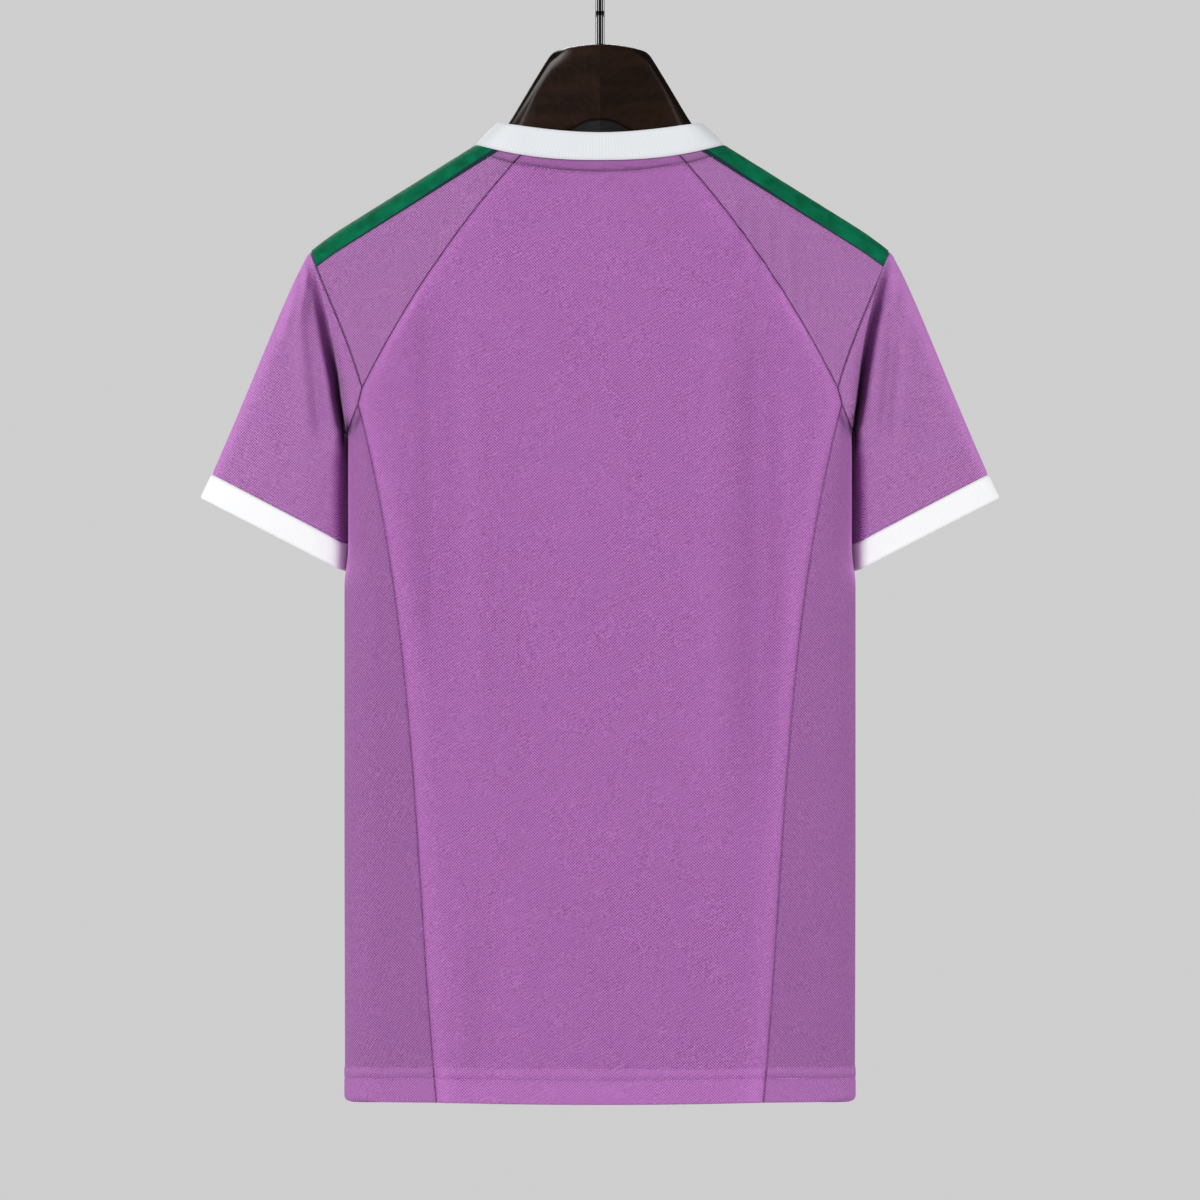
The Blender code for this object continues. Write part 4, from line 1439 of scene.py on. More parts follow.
class Look(Graph):
    """The nodes of one material."""

    def __init__(self, name: str) -> None:
        """Make an empty material."""
        self.material = bpy.data.materials.new(name)
        self.material.use_nodes = True
        super().__init__(self.material.node_tree)

    def object_place(self) -> Sock:
        """Return the place on the object, in metres."""
        return self.node("ShaderNodeTexCoord", out="Object")

    def along(self, place: Sock, *axes: str) -> list[Sock]:
        """Return a place's values along some axes."""
        split = self.node("ShaderNodeSeparateXYZ", {}, {0: place})
        return [split.other(axis) for axis in axes]

    def cloth_place(self) -> list[Sock]:
        """Return a piece's own UV values, in metres."""
        return self.along(self.node("ShaderNodeUVMap", {"uv_map": "cloth"}), "X", "Y")

    def number(self, name: str) -> Sock:
        """Return the number that a mesh keeps for each point under a name."""
        return self.node("ShaderNodeAttribute", {"attribute_name": name}, out="Fac")

    def rows(self, place: Sock, pitch: float) -> Sock:
        """Return even rows from 0 to 1 across a place."""
        return (place * (TURN / pitch)).sine() * 0.5 + 0.5

    def mix(self, share: Sock, low: Sock | Colour, high: Sock | Colour) -> Sock:
        """Return a colour between two colours."""
        return self.node("ShaderNodeMix", {"data_type": "RGBA"}, {0: share, 6: low, 7: high}, 2)

    def toned(self, colour: Sock, dark: Colour, pale: Colour, lines: Sock | None = None) -> Sock:
        """Return a colour that turns darker or paler as the tone and the sewn lines say; the tone holds
        painted light and shade, and darker seams.
        """
        tone = self.number("tone")
        whole = tone if lines is None else tone.size() * 0.5 + tone * 0.5 + lines
        return self.mix(tone * -1, self.mix(whole, colour, dark), pale)

    def noise(self, scale: float, detail: float = 2, shift: float = 0, stretch: Colour = (1, 1, 1)) -> Sock:
        """Return a soft random number from 0 to 1.

        Args:
            scale: how many times it changes in a metre.
            detail: how many finer layers it has.
            shift: moves the pattern, so that two of one scale differ.
            stretch: the scale along each axis.

        Returns:
            That number.
        """
        place = self.node("ShaderNodeMapping", {}, {
            "Vector": self.object_place(), "Location": (shift, shift * 0.7, shift * 1.3),
            "Scale": stretch})
        return self.node("ShaderNodeTexNoise", {}, {"Vector": place, "Scale": scale, "Detail": detail})

    def finish(self, colour: Sock, roughness: Sock | float, height: Sock, relief: float,
               shut: Sock | None = None, **constants: float | Colour) -> Material:
        """Join the surface and return the material.

        Args:
            colour: the base colour.
            roughness: the roughness.
            height: the height that the bump follows.
            relief: the bump's depth in metres.
            shut: the share of a black matt surface, for a place that lies in shadow.
            constants: values for the shader's own inputs, with _ for a space.

        Returns:
            The finished material.
        """
        raised = self.node("ShaderNodeBump", {}, {"Height": height, "Distance": relief, "Strength": 1})
        whole = self.node("ShaderNodeBsdfPrincipled", {}, {
            "Base Color": colour, "Roughness": roughness, "Normal": raised,
            **{name.replace("_", " "): value for name, value in constants.items()}})
        if shut is not None:
            black = self.node("ShaderNodeBsdfDiffuse", {}, {"Color": (0.006, 0.005, 0.005)})
            whole = self.node("ShaderNodeMixShader", {}, {0: shut, 1: whole, 2: black})
        self.node("ShaderNodeOutputMaterial", {}, {"Surface": whole})
        return self.material


@dataclass(frozen=True)
class Finish:
    """What one kind of surface looks like: its material's name and its two main colours."""

    name: str
    low: Colour
    high: Colour


class Weave(Enum):
    """The lines on a knit's face: how much they run across and down, and their pitch."""

    BIRDSEYE = (0.5, -1, 0.0034)
    DIAGONAL = (0.62, -1, 0.0026)
    MESH = (0.9, 0.5, 0.0029)


@dataclass(frozen=True)
class KnitFinish(Finish):
    """A knit cloth of fine loops in two tones."""

    weave: Weave = Weave.BIRDSEYE
    pitch: float = 0.0022
    dots: float = 0.85
    grain: float = 0.34
    seam_dark: float = 0.48
    relief: float = 0.00016
    roughness: float = 0.76
    sheen: float = 0.12
    soft: float = 0.1
    # The first of these colours darkens seam lines and painted shade; the second is the colour of painted
    # light.
    tint: Colour = (0.014, 0.004, 0.018)
    pale: Colour = (0.92, 0.34, 0.94)
    bluish: Colour = (0.62, 0.6, 0.74)

    def material(self) -> Material:
        """Return the material."""
        look = Look(self.name)
        u, v = look.cloth_place()
        turn = TURN / self.pitch
        across, down, pitch = self.weave.value
        loops = (u * turn).sine() * (v * turn).sine()
        ribs = ((u * across + v * down) * (TURN / pitch)).sine()
        patch = look.noise(70, 2, 0.57, (1, 1, 1.6))
        fibre = look.noise(1000, 0)
        hue = look.noise(48, 2, 3.3)
        cloudy = look.noise(9, 3, 1.7, (1.6, 1, 0.8))
        share = loops * (patch.step(0.3, 0.66) * self.dots + 0.25)
        share += (fibre - 0.5) * (self.grain * 3.2) + ribs * 0.07
        share += (cloudy - 0.5) * self.soft + 0.5
        cloth = look.mix(share, self.low, self.high)
        bluish = tuple(a * b for a, b in zip(self.high, self.bluish))
        cloth = look.mix(hue.step(0.45, 0.75) * 0.16, cloth, bluish)
        seam, stitch = look.number("seam"), look.number("stitch").size()
        thread = look.noise(300, 1, 5.1).step(0.25, 0.7)
        lines = seam.step(0.7, 0.1) * (thread * 0.35 + self.seam_dark)
        lines += stitch.step(0.75, 0.15) * (thread * 0.12 + 0.03)
        height = (loops * 0.35 + fibre * 0.65 - seam.step(1, 0) * 3 - stitch.step(1, 0.1) * 1.2)
        return look.finish(look.toned(cloth, self.tint, self.pale, lines),
                           cloudy * 0.1 + (self.roughness - 0.05), height, self.relief,
                           Sheen_Weight=self.sheen, Sheen_Roughness=0.45,
                           Sheen_Tint=(0.95, 0.7, 0.97), Specular_IOR_Level=0.2)


@dataclass(frozen=True)
class RibFinish(Finish):
    """A ribbed knit whose ribs run across the piece."""

    pitch: float = 0.0023
    relief: float = 0.00007
    tint: Colour = (0.2, 0.19, 0.24)

    def material(self) -> Material:
        """Return the material."""
        look = Look(self.name)
        u, v = look.cloth_place()
        rib, loops = look.rows(u, self.pitch), look.rows(v, 0.0013)
        fibre = look.noise(700)
        cloudy = look.noise(22, 2, 2.2)
        share = rib.step(0.02, 0.6) * 0.6 + fibre * 0.4 + (cloudy - 0.5) * 0.2
        colour = look.toned(look.mix(share, self.low, self.high), self.tint, self.high)
        height = rib * 0.75 + loops * 0.12 + fibre * 0.13
        return look.finish(colour, cloudy * 0.1 + 0.78, height, self.relief, Sheen_Weight=0.15,
                           Sheen_Roughness=0.5, Specular_IOR_Level=0.25)


@dataclass(frozen=True)
class TapeFinish(Finish):
    """A knit tape with a darker sewn edge and a painted highlight along its middle, over the shoulder's
    ridge.
    """

    edge: Colour = (0.01, 0.034, 0.042)
    # The colour of the painted highlight along the tape's middle.
    painted_ridge_sheen: Colour = (0.14, 0.36, 0.26)
    half_width: float = 0.0262

    def material(self) -> Material:
        """Return the material."""
        look = Look(self.name)
        along, across = look.cloth_place()
        fibre = look.noise(650)
        blotch = look.noise(85, 3, 0.9)
        rows, loops = look.rows(across, 0.0021), look.rows(along, 0.0017)
        share = blotch.step(0.32, 0.68) * 0.55 + fibre * 0.3 + rows * 0.15
        colour, out = look.mix(share, self.low, self.high), across.size()
        sewn = out.step(self.half_width - 0.0013, self.half_width - 0.0003)
        colour = look.mix(sewn, colour, self.edge)
        # Painted highlight along the middle, where the tape turns over the shoulder.
        colour = look.mix(out.step(0.0016, 0.0005) * 0.6, colour, self.painted_ridge_sheen)
        colour = look.toned(colour, self.edge, self.painted_ridge_sheen)
        height = rows * 0.4 + loops * 0.25 + fibre * 0.35
        return look.finish(colour, blotch * 0.12 + 0.66, height, 0.00018, Specular_IOR_Level=0.08)


@dataclass(frozen=True)
class ThreadFinish(Finish):
    """Sewing thread with a fine twist."""

    def material(self) -> Material:
        """Return the material."""
        look = Look(self.name)
        tone = look.noise(900, 1)
        twist = look.noise(2600, 1, stretch=(1, 1, 0.4))
        colour = look.mix(tone.step(0.3, 0.7), self.low, self.high)
        return look.finish(colour, tone * 0.2 + 0.5, twist, 0.0001, Specular_IOR_Level=0.3)


@dataclass(frozen=True)
class WoodFinish(Finish):
    """Dark stained wood under a satin varnish, with its grain along the hanger; the tone paints shadow on
    its underside and chamfer rims and a highlight on the left half's edge.
    """

    shift: float = 0
    lean: float = 0.9
    shine: float = 0.14
    # The colours of painted shadow and of a painted highlight.
    shadow: Colour = (0.0015, 0.0014, 0.0013)
    painted_highlight: Colour = (0.2, 0.19, 0.18)

    def material(self) -> Material:
        """Return the material."""
        look = Look(self.name)
        figure = look.noise(9, 3, self.shift, (2.2, 5, 9))
        x, z = look.along(look.object_place(), "X", "Z")
        rings = ((x * self.lean + z + figure * 0.035) * 760).sine() * 0.5 + 0.5
        pores = look.noise(420, 2, self.shift, (1, 1, 0.18))
        share = rings * 0.14 + figure.step(0.3, 0.75) * 0.6 + pores * 0.26
        colour = look.toned(look.mix(share, self.low, self.high), self.shadow, self.painted_highlight)
        rough = pores * 0.16 + (figure * 0.12 + 0.24)
        # Where the tone is high, a black matt surface stands in as painted shadow.
        return look.finish(colour, rough, rings * 0.2 + pores * 0.8, 0.00005,
                           look.number("tone").step(0.3, 0.9), Coat_Weight=0.03,
                           Coat_Roughness=0.22, Specular_IOR_Level=self.shine)


@dataclass(frozen=True)
class ChromeFinish(Finish):
    """Polished plating with faint draw marks, a painted dark reflection on its front and back and a dark
    ring.
    """

    ring: Colour = (0.003, 0.003, 0.003)

    def material(self) -> Material:
        """Return the material."""
        look = Look(self.name)
        marks = look.noise(260, stretch=(1, 1, 0.06))
        # Painted reflection: the tone darkens the wire's front and back and leaves its edges bright.
        dark = tuple(0.06 * value for value in self.high)
        colour = look.toned(look.mix(marks, self.low, self.high), dark, self.high)
        colour = look.mix(look.number("tone").step(1.5, 2.5), colour, self.ring)
        return look.finish(colour, marks * 0.06 + 0.05, marks, 0.00001, Metallic=1)


@dataclass(frozen=True)
class FloorFinish(Finish):
    """A plain pale matt floor."""

    def material(self) -> Material:
        """Return the material."""
        look = Look(self.name)
        cloudy = look.noise(3, 3)
        return look.finish(look.mix(cloudy, self.low, self.high), 0.85, cloudy, 0.0005)


FINISHES = (
    KnitFinish("purple_knit", (0.19, 0.035, 0.2), (0.57, 0.23, 0.6)),
    KnitFinish("purple_sleeve_knit", (0.215, 0.048, 0.23), (0.572, 0.262, 0.594),
               Weave.BIRDSEYE, 0.0021, 0.6, 0.32),
    KnitFinish("grey_purple_yoke", (0.2, 0.053, 0.208), (0.54, 0.248, 0.562),
               Weave.DIAGONAL, 0.0021, 0.75, 0.32),
    KnitFinish("grey_purple_mesh", (0.192, 0.051, 0.203), (0.458, 0.19, 0.484),
               Weave.MESH, 0.0021, 0.7, 0.3, 0.35),
    TapeFinish("green_tape", (0.0003, 0.085, 0.036), (0.0006, 0.2, 0.09)),
    RibFinish("white_rib", (0.735, 0.755, 0.785), (0.795, 0.815, 0.845)),
    RibFinish("white_cuff_rib", (0.9, 0.905, 0.92), (0.97, 0.972, 0.98), 0.0019, 0.00005),
    ThreadFinish("dark_thread", (0.03, 0.016, 0.05), (0.085, 0.04, 0.11)),
    ThreadFinish("soft_thread", (0.13, 0.045, 0.14), (0.28, 0.105, 0.3)),
    ThreadFinish("purple_thread", (0.42, 0.17, 0.44), (0.78, 0.42, 0.8)),
    WoodFinish("dark_wood_left", (0.007, 0.0042, 0.003), (0.03, 0.0118, 0.0062)),
    WoodFinish("dark_wood_right", (0.0073, 0.0046, 0.0033), (0.0238, 0.0106, 0.0064),
               2.7, -0.9, 0.06),
    ChromeFinish("chrome_wire", (0.5676, 0.5676, 0.5762), (0.66, 0.66, 0.67)),
    FloorFinish("pale_floor", (0.582, 0.582, 0.5917), (0.6, 0.6, 0.61)),
)


@dataclass(frozen=True)
class StitchRow:
    """Rows of stitches of one kind, set along lines on the cloth by geometry nodes."""

    name: str
    thread: str
    pitch: float
    length: float
    thickness: float = 0.00062
    spread: float = 0.16
    seed: int = 7

    def tree(self, thread: Material) -> NodeTree:
        """Build the node tree that sets one stitch at each pitch along a line.

        Args:
            thread: their material.

        Returns:
            The tree, whose inputs are named Pitch, Length, Thickness, Spread and Seed.
        """
        tree = bpy.data.node_groups.new("stitch_row", "GeometryNodeTree")
        kinds = {"Line": "Geometry", "Pitch": "Float", "Length": "Float", "Thickness": "Float",
                 "Spread": "Float", "Seed": "Int"}
        for name, kind in kinds.items():
            tree.interface.new_socket(name, in_out="INPUT", socket_type=f"NodeSocket{kind}")
        tree.interface.new_socket("Stitches", in_out="OUTPUT", socket_type="NodeSocketGeometry")
        graph = Graph(tree)
        given = graph.node("NodeGroupInput")
        thick, spread = given.other("Thickness"), given.other("Spread")
        curve = graph.node("GeometryNodeMeshToCurve", {}, {"Mesh": given})
        points = graph.node("GeometryNodeCurveToPoints", {"mode": "LENGTH"},
                            {"Curve": curve, "Length": given.other("Pitch")})
        ball = graph.node("GeometryNodeMeshUVSphere", {}, {"Segments": 6, "Rings": 4, "Radius": 0.5})
        size = graph.node("ShaderNodeCombineXYZ", {}, {"X": given.other("Length"), "Y": thick, "Z": thick})
        shape = graph.node("GeometryNodeTransform", {}, {"Geometry": ball, "Scale": size})
        turn = graph.node("FunctionNodeAlignRotationToVector", {"axis": "X"},
                          {"Vector": points.other("Tangent")})
        chance = graph.node("FunctionNodeRandomValue", {"data_type": "FLOAT"},
                            {2: 1 - spread, 3: 1 + spread, "Seed": given.other("Seed")}, 1)
        sewn = graph.node("GeometryNodeInstanceOnPoints", {}, {
            "Points": points, "Instance": shape, "Rotation": turn, "Scale": chance})
        real = graph.node("GeometryNodeRealizeInstances", {}, {"Geometry": sewn})
        dyed = graph.node("GeometryNodeSetMaterial", {}, {"Geometry": real, "Material": thread})
        graph.node("NodeGroupOutput", {}, {"Stitches": dyed})
        return tree

    def sew(self, lines: Rows, thread: Material) -> Object:
        """Sew rows of stitches along lines.

        Args:
            lines: the lines, as points in millimetres.
            thread: their material.

        Returns:
            The stitches' object, one plain mesh.
        """
        points, edges = [], []
        for line in lines:
            base = len(points)
            points += [p * MM for p in line]
            edges += [(base + i, base + i + 1) for i in range(len(line) - 1)]
        guide = bpy.data.meshes.new(f"{self.name}_line")
        guide.from_pydata(points, edges, [])
        thing = placed(guide.name, guide)
        row = thing.modifiers.new("stitches", "NODES")
        row.node_group = self.tree(thread)
        for socket in row.node_group.interface.items_tree:
            if socket.in_out == "INPUT" and socket.name != "Line":
                row[socket.identifier] = getattr(self, socket.name.lower())
        bpy.context.view_layer.update()
        ready = thing.evaluated_get(bpy.context.evaluated_depsgraph_get())
        data = bpy.data.meshes.new_from_object(ready)
        data.name = self.name
        data.shade_smooth()
        bpy.data.objects.remove(thing)
        return placed(self.name, data)


def trace(cloth: Cloth, table: list[list[float]], level: float, lift: float,
          across: bool = False) -> list[Vector]:
    """Find the line on a pressed piece where a table of its points passes a level.

    Args:
        cloth: the piece.
        table: one number for each grid point.
        level: the number to find.
        lift: how far the line stands off the cloth, in millimetres.
        across: whether to look along the rows instead of down the columns.

    Returns:
        The line's points, in millimetres.
    """
    found = []
    rows = [list(zip(*row)) for row in zip(table, cloth.rows, cloth.normals)]
    for line in rows if across else zip(*rows):
        for (low, point, normal), (high, beyond, _) in zip(line, line[1:]):
            if (low - level) * (high - level) <= 0 and low != high:
                share = (level - low) / (high - low)
                found.append(point.lerp(beyond, share) + normal * lift)
                break
    return found


@dataclass
class Seams:
    """The visible rows of thread on the jersey."""

    sewing: Sewing
    lift: float = -0.05
    seam_gap: float = 0.9
    seam_lift: float = 0.05
    hem: StitchRow = StitchRow("hem_stitches", "purple_thread", 0.0022, 0.0012)
    neck: StitchRow = StitchRow("neck_stitches", "purple_thread", 0.0028, 0.0014)
    armhole: StitchRow = StitchRow("armhole_stitches", "dark_thread", 0.0023, 0.0013)
    side: StitchRow = StitchRow("side_stitches", "soft_thread", 0.0029, 0.0019)

    def lines(self, cloths: list[Cloth]) -> dict[StitchRow, Rows]:
        """Find the lines that thread runs along.

        Args:
            cloths: the pressed pieces of cloth.

        Returns:
            The lines in millimetres, for each kind of row.
        """
        sewing = self.sewing
        lines = {row: [] for row in (self.hem, self.neck, self.armhole, self.side)}
        for cloth in cloths:
            kind = cloth.name.split("_")[0]
            if kind in ("back", "front", "side"):
                heights = [[sewing.hem_distance(p.x, drop_of(p)) for p in row] for row in cloth.rows]
                lines[self.hem] += [trace(cloth, heights, row, self.lift) for row in sewing.hem_rows]
            if kind in ("back", "front", "yoke"):
                lines[self.neck].append(trace(cloth, cloth.lengths("top"),
                                              sewing.neck_row + self.seam_gap, self.lift))
            if kind == "sleeve":
                loop = trace(cloth, cloth.lengths("top"), self.seam_gap, self.seam_lift)
                high = [p for p in loop if drop_of(p) < sewing.form.side_top.drop]
                lines[self.armhole] += [[p for p in high if p.y * face > 0] for face in FACES]
            if kind == "side":
                lines[self.side] += [trace(cloth, cloth.lengths(edge), self.seam_gap,
                                           self.seam_lift, True) for edge in ("start", "end")]
        return lines


@dataclass
class Hanger:
    """The wooden hanger: two halves glued on the centre line."""

    rows: tuple = (
        (0, -79.9, -21.8, 11, 18.5, 11), (10, -79.3, -20.4, 11, 18.5, 11), (20, -77.9, -15.2, 11, 18.5, 11),
        (29, -75.9, -10.6, 11, 18.5, 10), (34.5, -74, -8.6, 11, 18.5, 9), (37.5, -71.6, -7.2, 11, 18.5, 8),
        (40, -68.4, -6.2, 11, 18.5, 7), (50, -52.2, -1, 10, 18.5, 6), (60, -35.6, 9, 7, 17.5, 3.6),
        (69, -21, 18, 4, 16, 2.7), (78, -9, 26, 2, 16, 2.3), (97, 3.4, 40, 0, 17.5, 2.2),
        (130, 24, 59, 0, 18.5, 2.2), (165, 46, 78, 0, 18.5, 2.2), (193, 64, 92, 0, 18.5, 2.2),
        (204, 74, 96, 0, 16.5, 2.2), (209, 82, 94, 0, 10.5, 2))
    around: int = 64
    between: int = 5
    chamfer: dict = field(default_factory=lambda: {"left": 5, "right": 3})
    # Where the painted shade of each half's chamfer rim starts, as a share of the height.
    rim_start: dict = field(default_factory=lambda: {"left": 0.74, "right": 0.5})

    def row_at(self, place: float) -> tuple[float, ...]:
        """Return the table's row at a place counted in rows, on a smooth line through them."""
        last = len(self.rows) - 1
        i = min(int(place), last - 1)
        t = place - i
        four = [self.rows[min(max(i + k, 0), last)] for k in (-1, 0, 1, 2)]
        return tuple(0.5 * (2 * b + (c - a) * t + (2 * a - 5 * b + 4 * c - d) * t * t
                            + (3 * b - a - 3 * c + d) * t ** 3)
                     for a, b, c, d in zip(*four))

    def section(self, row: tuple[float, ...], name: str) -> tuple[list[Vector], list[float]]:
        """Work out the loop of points round the wood at one row.

        Args:
            row: the row of the table.
            name: the half, left or right.

        Returns:
            The points, and how dark each is: painted shadow on the underside and on the back's chamfer rim,
                and below 0 a painted highlight inside the left half's rim and along its top edge.
        """
        x, top, bottom, front_fall, half_depth, squareness = row
        middle, half_height = (top + bottom) / 2, (bottom - top) / 2
        power = 2 / squareness
        slope = smooth((x - 24) / 12) * smooth((88 - x) / 20)
        flank = smooth((x - 20) / 12) * smooth((92 - x) / 20)
        loop, tones = [], []
        for k in range(self.around):
            angle = TURN * k / self.around
            side, rise = math.sin(angle), math.cos(angle)
            y = half_depth * math.copysign(abs(side) ** power, side)
            height = math.copysign(abs(rise) ** power, rise)
            fall = front_fall * (1 - height) / 2 * (1 + y / half_depth) / 2
            cut = self.chamfer[name] * slope * smooth((-y / half_depth - 0.55) / 0.45)
            cut *= (1 + height) / 2
            loop.append(point_at(HANDS[name] * x, middle - half_height * height + fall + cut, y))
            # Painted shadow on the underside and on the back face's chamfer rim; on the left half a painted
            # highlight just inside that rim and along the top edge near the middle.
            back = 1 if side < 0 else 0
            rim = smooth((rise - self.rim_start[name]) / 0.12) * back
            painted_highlight = 0
            if name == "left":
                painted_highlight = 0.85 * flank * smooth((height - 0.58) / 0.34) ** 3 * (1 - rim) * back
                painted_highlight += 0.3 * rim * (1 - smooth((x - 18) / 14))
            tones.append(0.5 * smooth((-rise - 0.62) / 0.2) + 0.62 * rim * flank - painted_highlight)
        return loop, tones

    def build(self, name: str, finish: Material) -> Object:
        """Build one half of the wood and return its object."""
        count = (len(self.rows) - 1) * self.between
        sections = [self.section(self.row_at(i / self.between), name) for i in range(count + 1)]
        loops, tones = zip(*sections)
        return loft(f"hanger_wood_{name}", loops, sum(tones, []), finish, 46)


@dataclass
class Hook:
    """The wire hook: a straight shank, a bend and a round loop open on one side."""

    radius: float = 22
    wire: float = 3.5
    foot: float = -97.7
    bend_start: float = -64
    ring: tuple[float, float] = (-77.4, -72.8)
    join_angle: float = math.radians(-58)
    end_angle: float = math.radians(205)
    bend_steps: int = 16
    arc_steps: int = 60
    around: int = 24
    ball: int = 5
    ring_tone: float = 3

    def on_loop(self, angle: float) -> Spot:
        """Return the middle of the wire at an angle of the loop: its x and its height."""
        reach = self.radius + self.wire
        return Spot(reach * math.cos(angle), reach * math.sin(angle) - self.radius)

    def path(self) -> list[Vector]:
        """Return the wire's centre line from the wood to its free end."""
        join = self.on_loop(self.join_angle)
        pull = math.hypot(join.x, join.drop - self.bend_start) / 2
        bend = (Spot(0, self.bend_start), Spot(0, self.bend_start + pull),
                Spot(join.x + math.sin(self.join_angle) * pull,
                     join.drop - math.cos(self.join_angle) * pull), join)
        low, high = self.ring
        line = [(0, z) for z in (self.foot, low - 0.5, low, high, high + 0.5)]
        line += [bezier(bend, i / self.bend_steps) for i in range(self.bend_steps)]
        line += [self.on_loop(lerp(self.join_angle, self.end_angle, i / self.arc_steps))
                 for i in range(self.arc_steps + 1)]
        return [Vector((x, 0, z)) for x, z in line]

    def build(self, finish: Material) -> Object:
        """Build the hook, with a rounded free end.

        Args:
            finish: its material.

        Returns:
            The hook's object.
        """
        path = self.path()
        headings = [(b - a).normalized() for a, b in zip(path, path[1:])]
        headings.append(headings[-1])
        rings = [(point, heading, self.wire) for point, heading in zip(path, headings)]
        for k in range(1, self.ball + 1):
            angle = math.pi / 2 * k / (self.ball + 0.3)
            rings.append((path[-1] + headings[-1] * (self.wire * math.sin(angle) * 0.6),
                          headings[-1], self.wire * math.cos(angle)))
        angles = [TURN * k / self.around for k in range(self.around)]
        aside = Vector((0, 1, 0))
        loops, tones = [], []
        for point, heading, radius in rings:
            across = heading.cross(aside)
            loops.append([point + (aside * math.cos(angle) + across * math.sin(angle)) * radius
                          for angle in angles])
            dark = self.ring_tone if self.ring[0] <= point.z <= self.ring[1] else 0
            # The tone paints a dark reflection where the wire faces front and back, leaving its edges
            # bright.
            tones += [dark + smooth((abs(math.cos(angle)) - 0.42) / 0.2) for angle in angles]
        return loft("hook_wire", loops, tones, finish, 50)


class Cut(NamedTuple):
    """A piece of cloth as it is cut, in metres, and the node, slot and finish that it has."""

    node: str
    slot: str
    finish: str
    width: float
    length: float
    area: float
    hold: Hold


CUTS = {
    "back_cloth": Cut("back_panel", "purple_knit", "purple_knit", 0.37, 0.725, 0.205, Hold.HUNG),
    "front_cloth": Cut("front_panel", "purple_knit", "purple_knit", 0.37, 0.68, 0.19,
                       Hold.HUNG),
    "side_cloth": Cut("side_panel", "grey_purple_mesh", "grey_purple_mesh", 0.17, 0.545, 0.062,
                      Hold.HUNG),
    "yoke_cloth_back": Cut("yoke_back", "grey_purple_mesh", "grey_purple_yoke", 0.1, 0.2,
                           0.0087, Hold.STRETCHED),
    "yoke_cloth_front": Cut("yoke_front", "grey_purple_mesh", "grey_purple_yoke", 0.1, 0.2,
                            0.01, Hold.STRETCHED),
    "band_cloth": Cut("shoulder_band", "green_band", "green_tape", 0.053, 0.16, 0.0081,
                      Hold.STRETCHED),
    "sleeve_cloth": Cut("sleeve", "purple_knit", "purple_sleeve_knit", 0.33, 0.18, 0.0335,
                        Hold.HUNG),
    "cuff_rib": Cut("cuff", "white_rib", "white_cuff_rib", 0.245, 0.022, 0.0051, Hold.HUNG),
    "collar_rib": Cut("collar", "white_rib", "white_rib", 0.46, 0.028, 0.0113, Hold.STRETCHED),
}


def hand_over(thing: Object, node: str | None = None) -> None:
    """Give a piece to the frame and report it.

    Args:
        thing: the piece.
        node: the node that it replaces, or None for a piece that is only added.
    """
    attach(thing, "root")
    if node:
        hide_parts(node)
    LOG.info("%s: %d faces", thing.name, len(thing.data.polygons))


@dataclass
class Jersey:
    """The whole jersey: its cloth and its thread."""

    finishes: dict[str, Material]
    form: JerseyForm = field(default_factory=JerseyForm)

    def build(self) -> None:
        """Build every piece and hand it to the frame."""
        sewing = Sewing(self.form)
        cloths = Body(self.form, sewing).pieces()
        cloths += Shoulders(self.form, sewing).pieces()
        cloths += Sleeves(self.form, sewing).pieces()
        cloths += Collar(self.form, sewing).pieces(cloths[:2])
        share_normals(cloths)
        for cloth in cloths:
            cloth.press()
        for cloth in cloths:
            start, cut = next(item for item in CUTS.items() if cloth.name.startswith(item[0]))
            thing = cloth.build(self.finishes[cut.finish])
            hand_over(thing, cut.node + cloth.name.removeprefix(start))
        for row, lines in Seams(sewing).lines(cloths).items():
            hand_over(row.sew(lines, self.finishes[row.thread]))


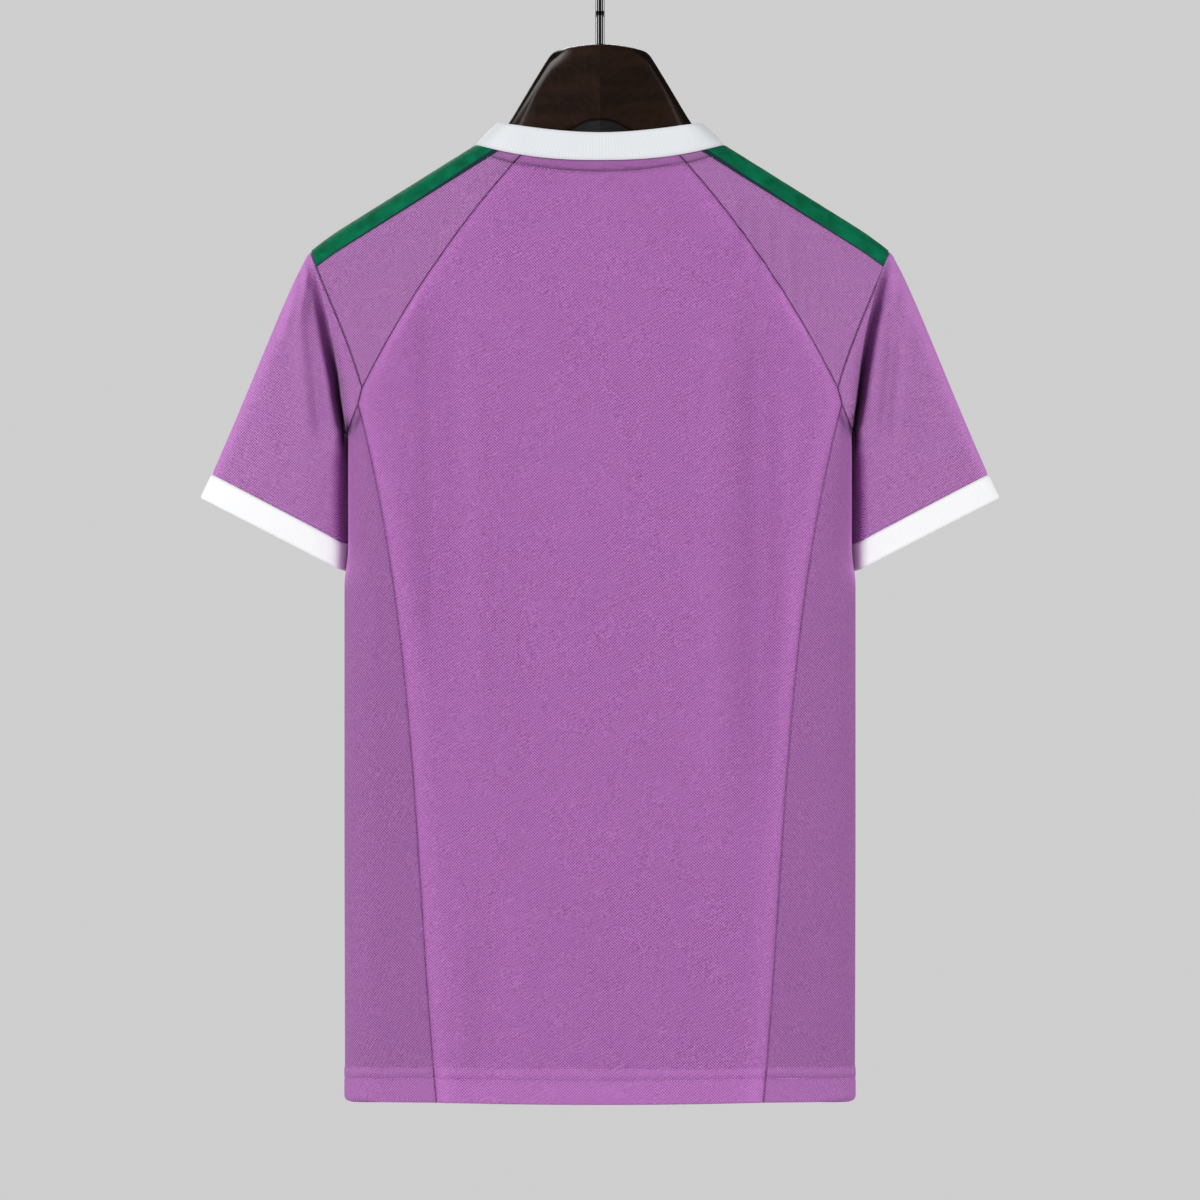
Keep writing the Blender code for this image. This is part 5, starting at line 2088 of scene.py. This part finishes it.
@dataclass
class Studio:
    """The camera, the soft lights, the pale surroundings and the floor."""

    distance: float = 9
    sharp_plane: float = -0.015
    width: float = 0.918
    height: float = -0.5237
    floor_level: float = -1.2
    floor_half: float = 1.4
    sensor: float = 36
    surround: float = 0.62
    ambient: float = 0.13
    lights: tuple = (("key_light", (-2.1, -2.3, 0.5), 1.4, 66.5),
                     ("fill_light", (2.1, -2.3, 0.3), 1.4, 50.5),
                     ("left_edge_light", (-2.2, 0.4, -0.3), 1, 15),
                     ("right_edge_light", (2.2, 0.4, -0.3), 1, 13),
                     ("front_light", (-0.5, 2.7, 1.3), 1.6, 60))

    def camera(self) -> None:
        """Set the camera level with the middle of the picture, straight behind the jersey."""
        data = bpy.data.cameras.new("camera")
        data.sensor_width = self.sensor
        data.lens = self.sensor * (self.distance + self.sharp_plane) / self.width
        data.clip_end = 50
        thing = placed("camera", data)
        thing.location = (0, -self.distance, self.height)
        thing.rotation_euler = (math.radians(90), 0, 0)
        bpy.context.scene.camera = thing

    def shine(self) -> None:
        """Add the square soft lights, each aimed at the jersey."""
        for name, place, size, power in self.lights:
            data = bpy.data.lights.new(name, "AREA")
            data.shape = "SQUARE"
            data.size, data.energy = size, power
            thing = placed(name, data)
            thing.location = place
            aim = Vector((0, 0, self.height)) - Vector(place)
            thing.rotation_euler = aim.to_track_quat("-Z", "Y").to_euler()

    def surroundings(self) -> None:
        """Set the pale even light from all round, a paler one where the camera sees it."""
        world = bpy.data.worlds.new("studio")
        world.use_nodes = True
        graph = Graph(world.node_tree)
        soft, seen = (graph.node("ShaderNodeBackground", {}, {"Color": (level,) * 3})
                      for level in (self.ambient, self.surround))
        ray = graph.node("ShaderNodeLightPath", out="Is Camera Ray")
        both = graph.node("ShaderNodeMixShader", {}, {0: ray, 1: soft, 2: seen})
        graph.node("ShaderNodeOutputWorld", {}, {"Surface": both})
        bpy.context.scene.world = world

    def floor(self, finish: Material) -> None:
        """Lay the floor below the jersey."""
        half = self.floor_half
        data = bpy.data.meshes.new("floor")
        data.from_pydata([(x, y, self.floor_level) for x, y in (
            (-half, -half), (half, -half), (half, half), (-half, half))], [], [(0, 1, 2, 3)])
        data.materials.append(finish)
        placed("floor", data)

    def build(self, finish: Material) -> None:
        """Build the studio."""
        self.camera()
        self.shine()
        self.surroundings()
        self.floor(finish)
        bpy.context.scene.view_settings.view_transform = "Standard"


def build_hanger(finishes: dict[str, Material]) -> None:
    """Build the hanger and its hook and hand them to the frame."""
    for name in HANDS:
        half = Hanger().build(name, finishes[f"dark_wood_{name}"])
        hand_over(half, f"hanger_{name}")
    hand_over(Hook().build(finishes["chrome_wire"]), "hook")


def main() -> None:
    """Build the studio, the hanger and the jersey in that order."""
    logging.basicConfig(level=logging.INFO, format="%(name)s: %(message)s")
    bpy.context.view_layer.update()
    finishes = {finish.name: finish.material() for finish in FINISHES}
    Studio().build(finishes["pale_floor"])
    build_hanger(finishes)
    Jersey(finishes).build()


if __name__ == "__main__":
    main()
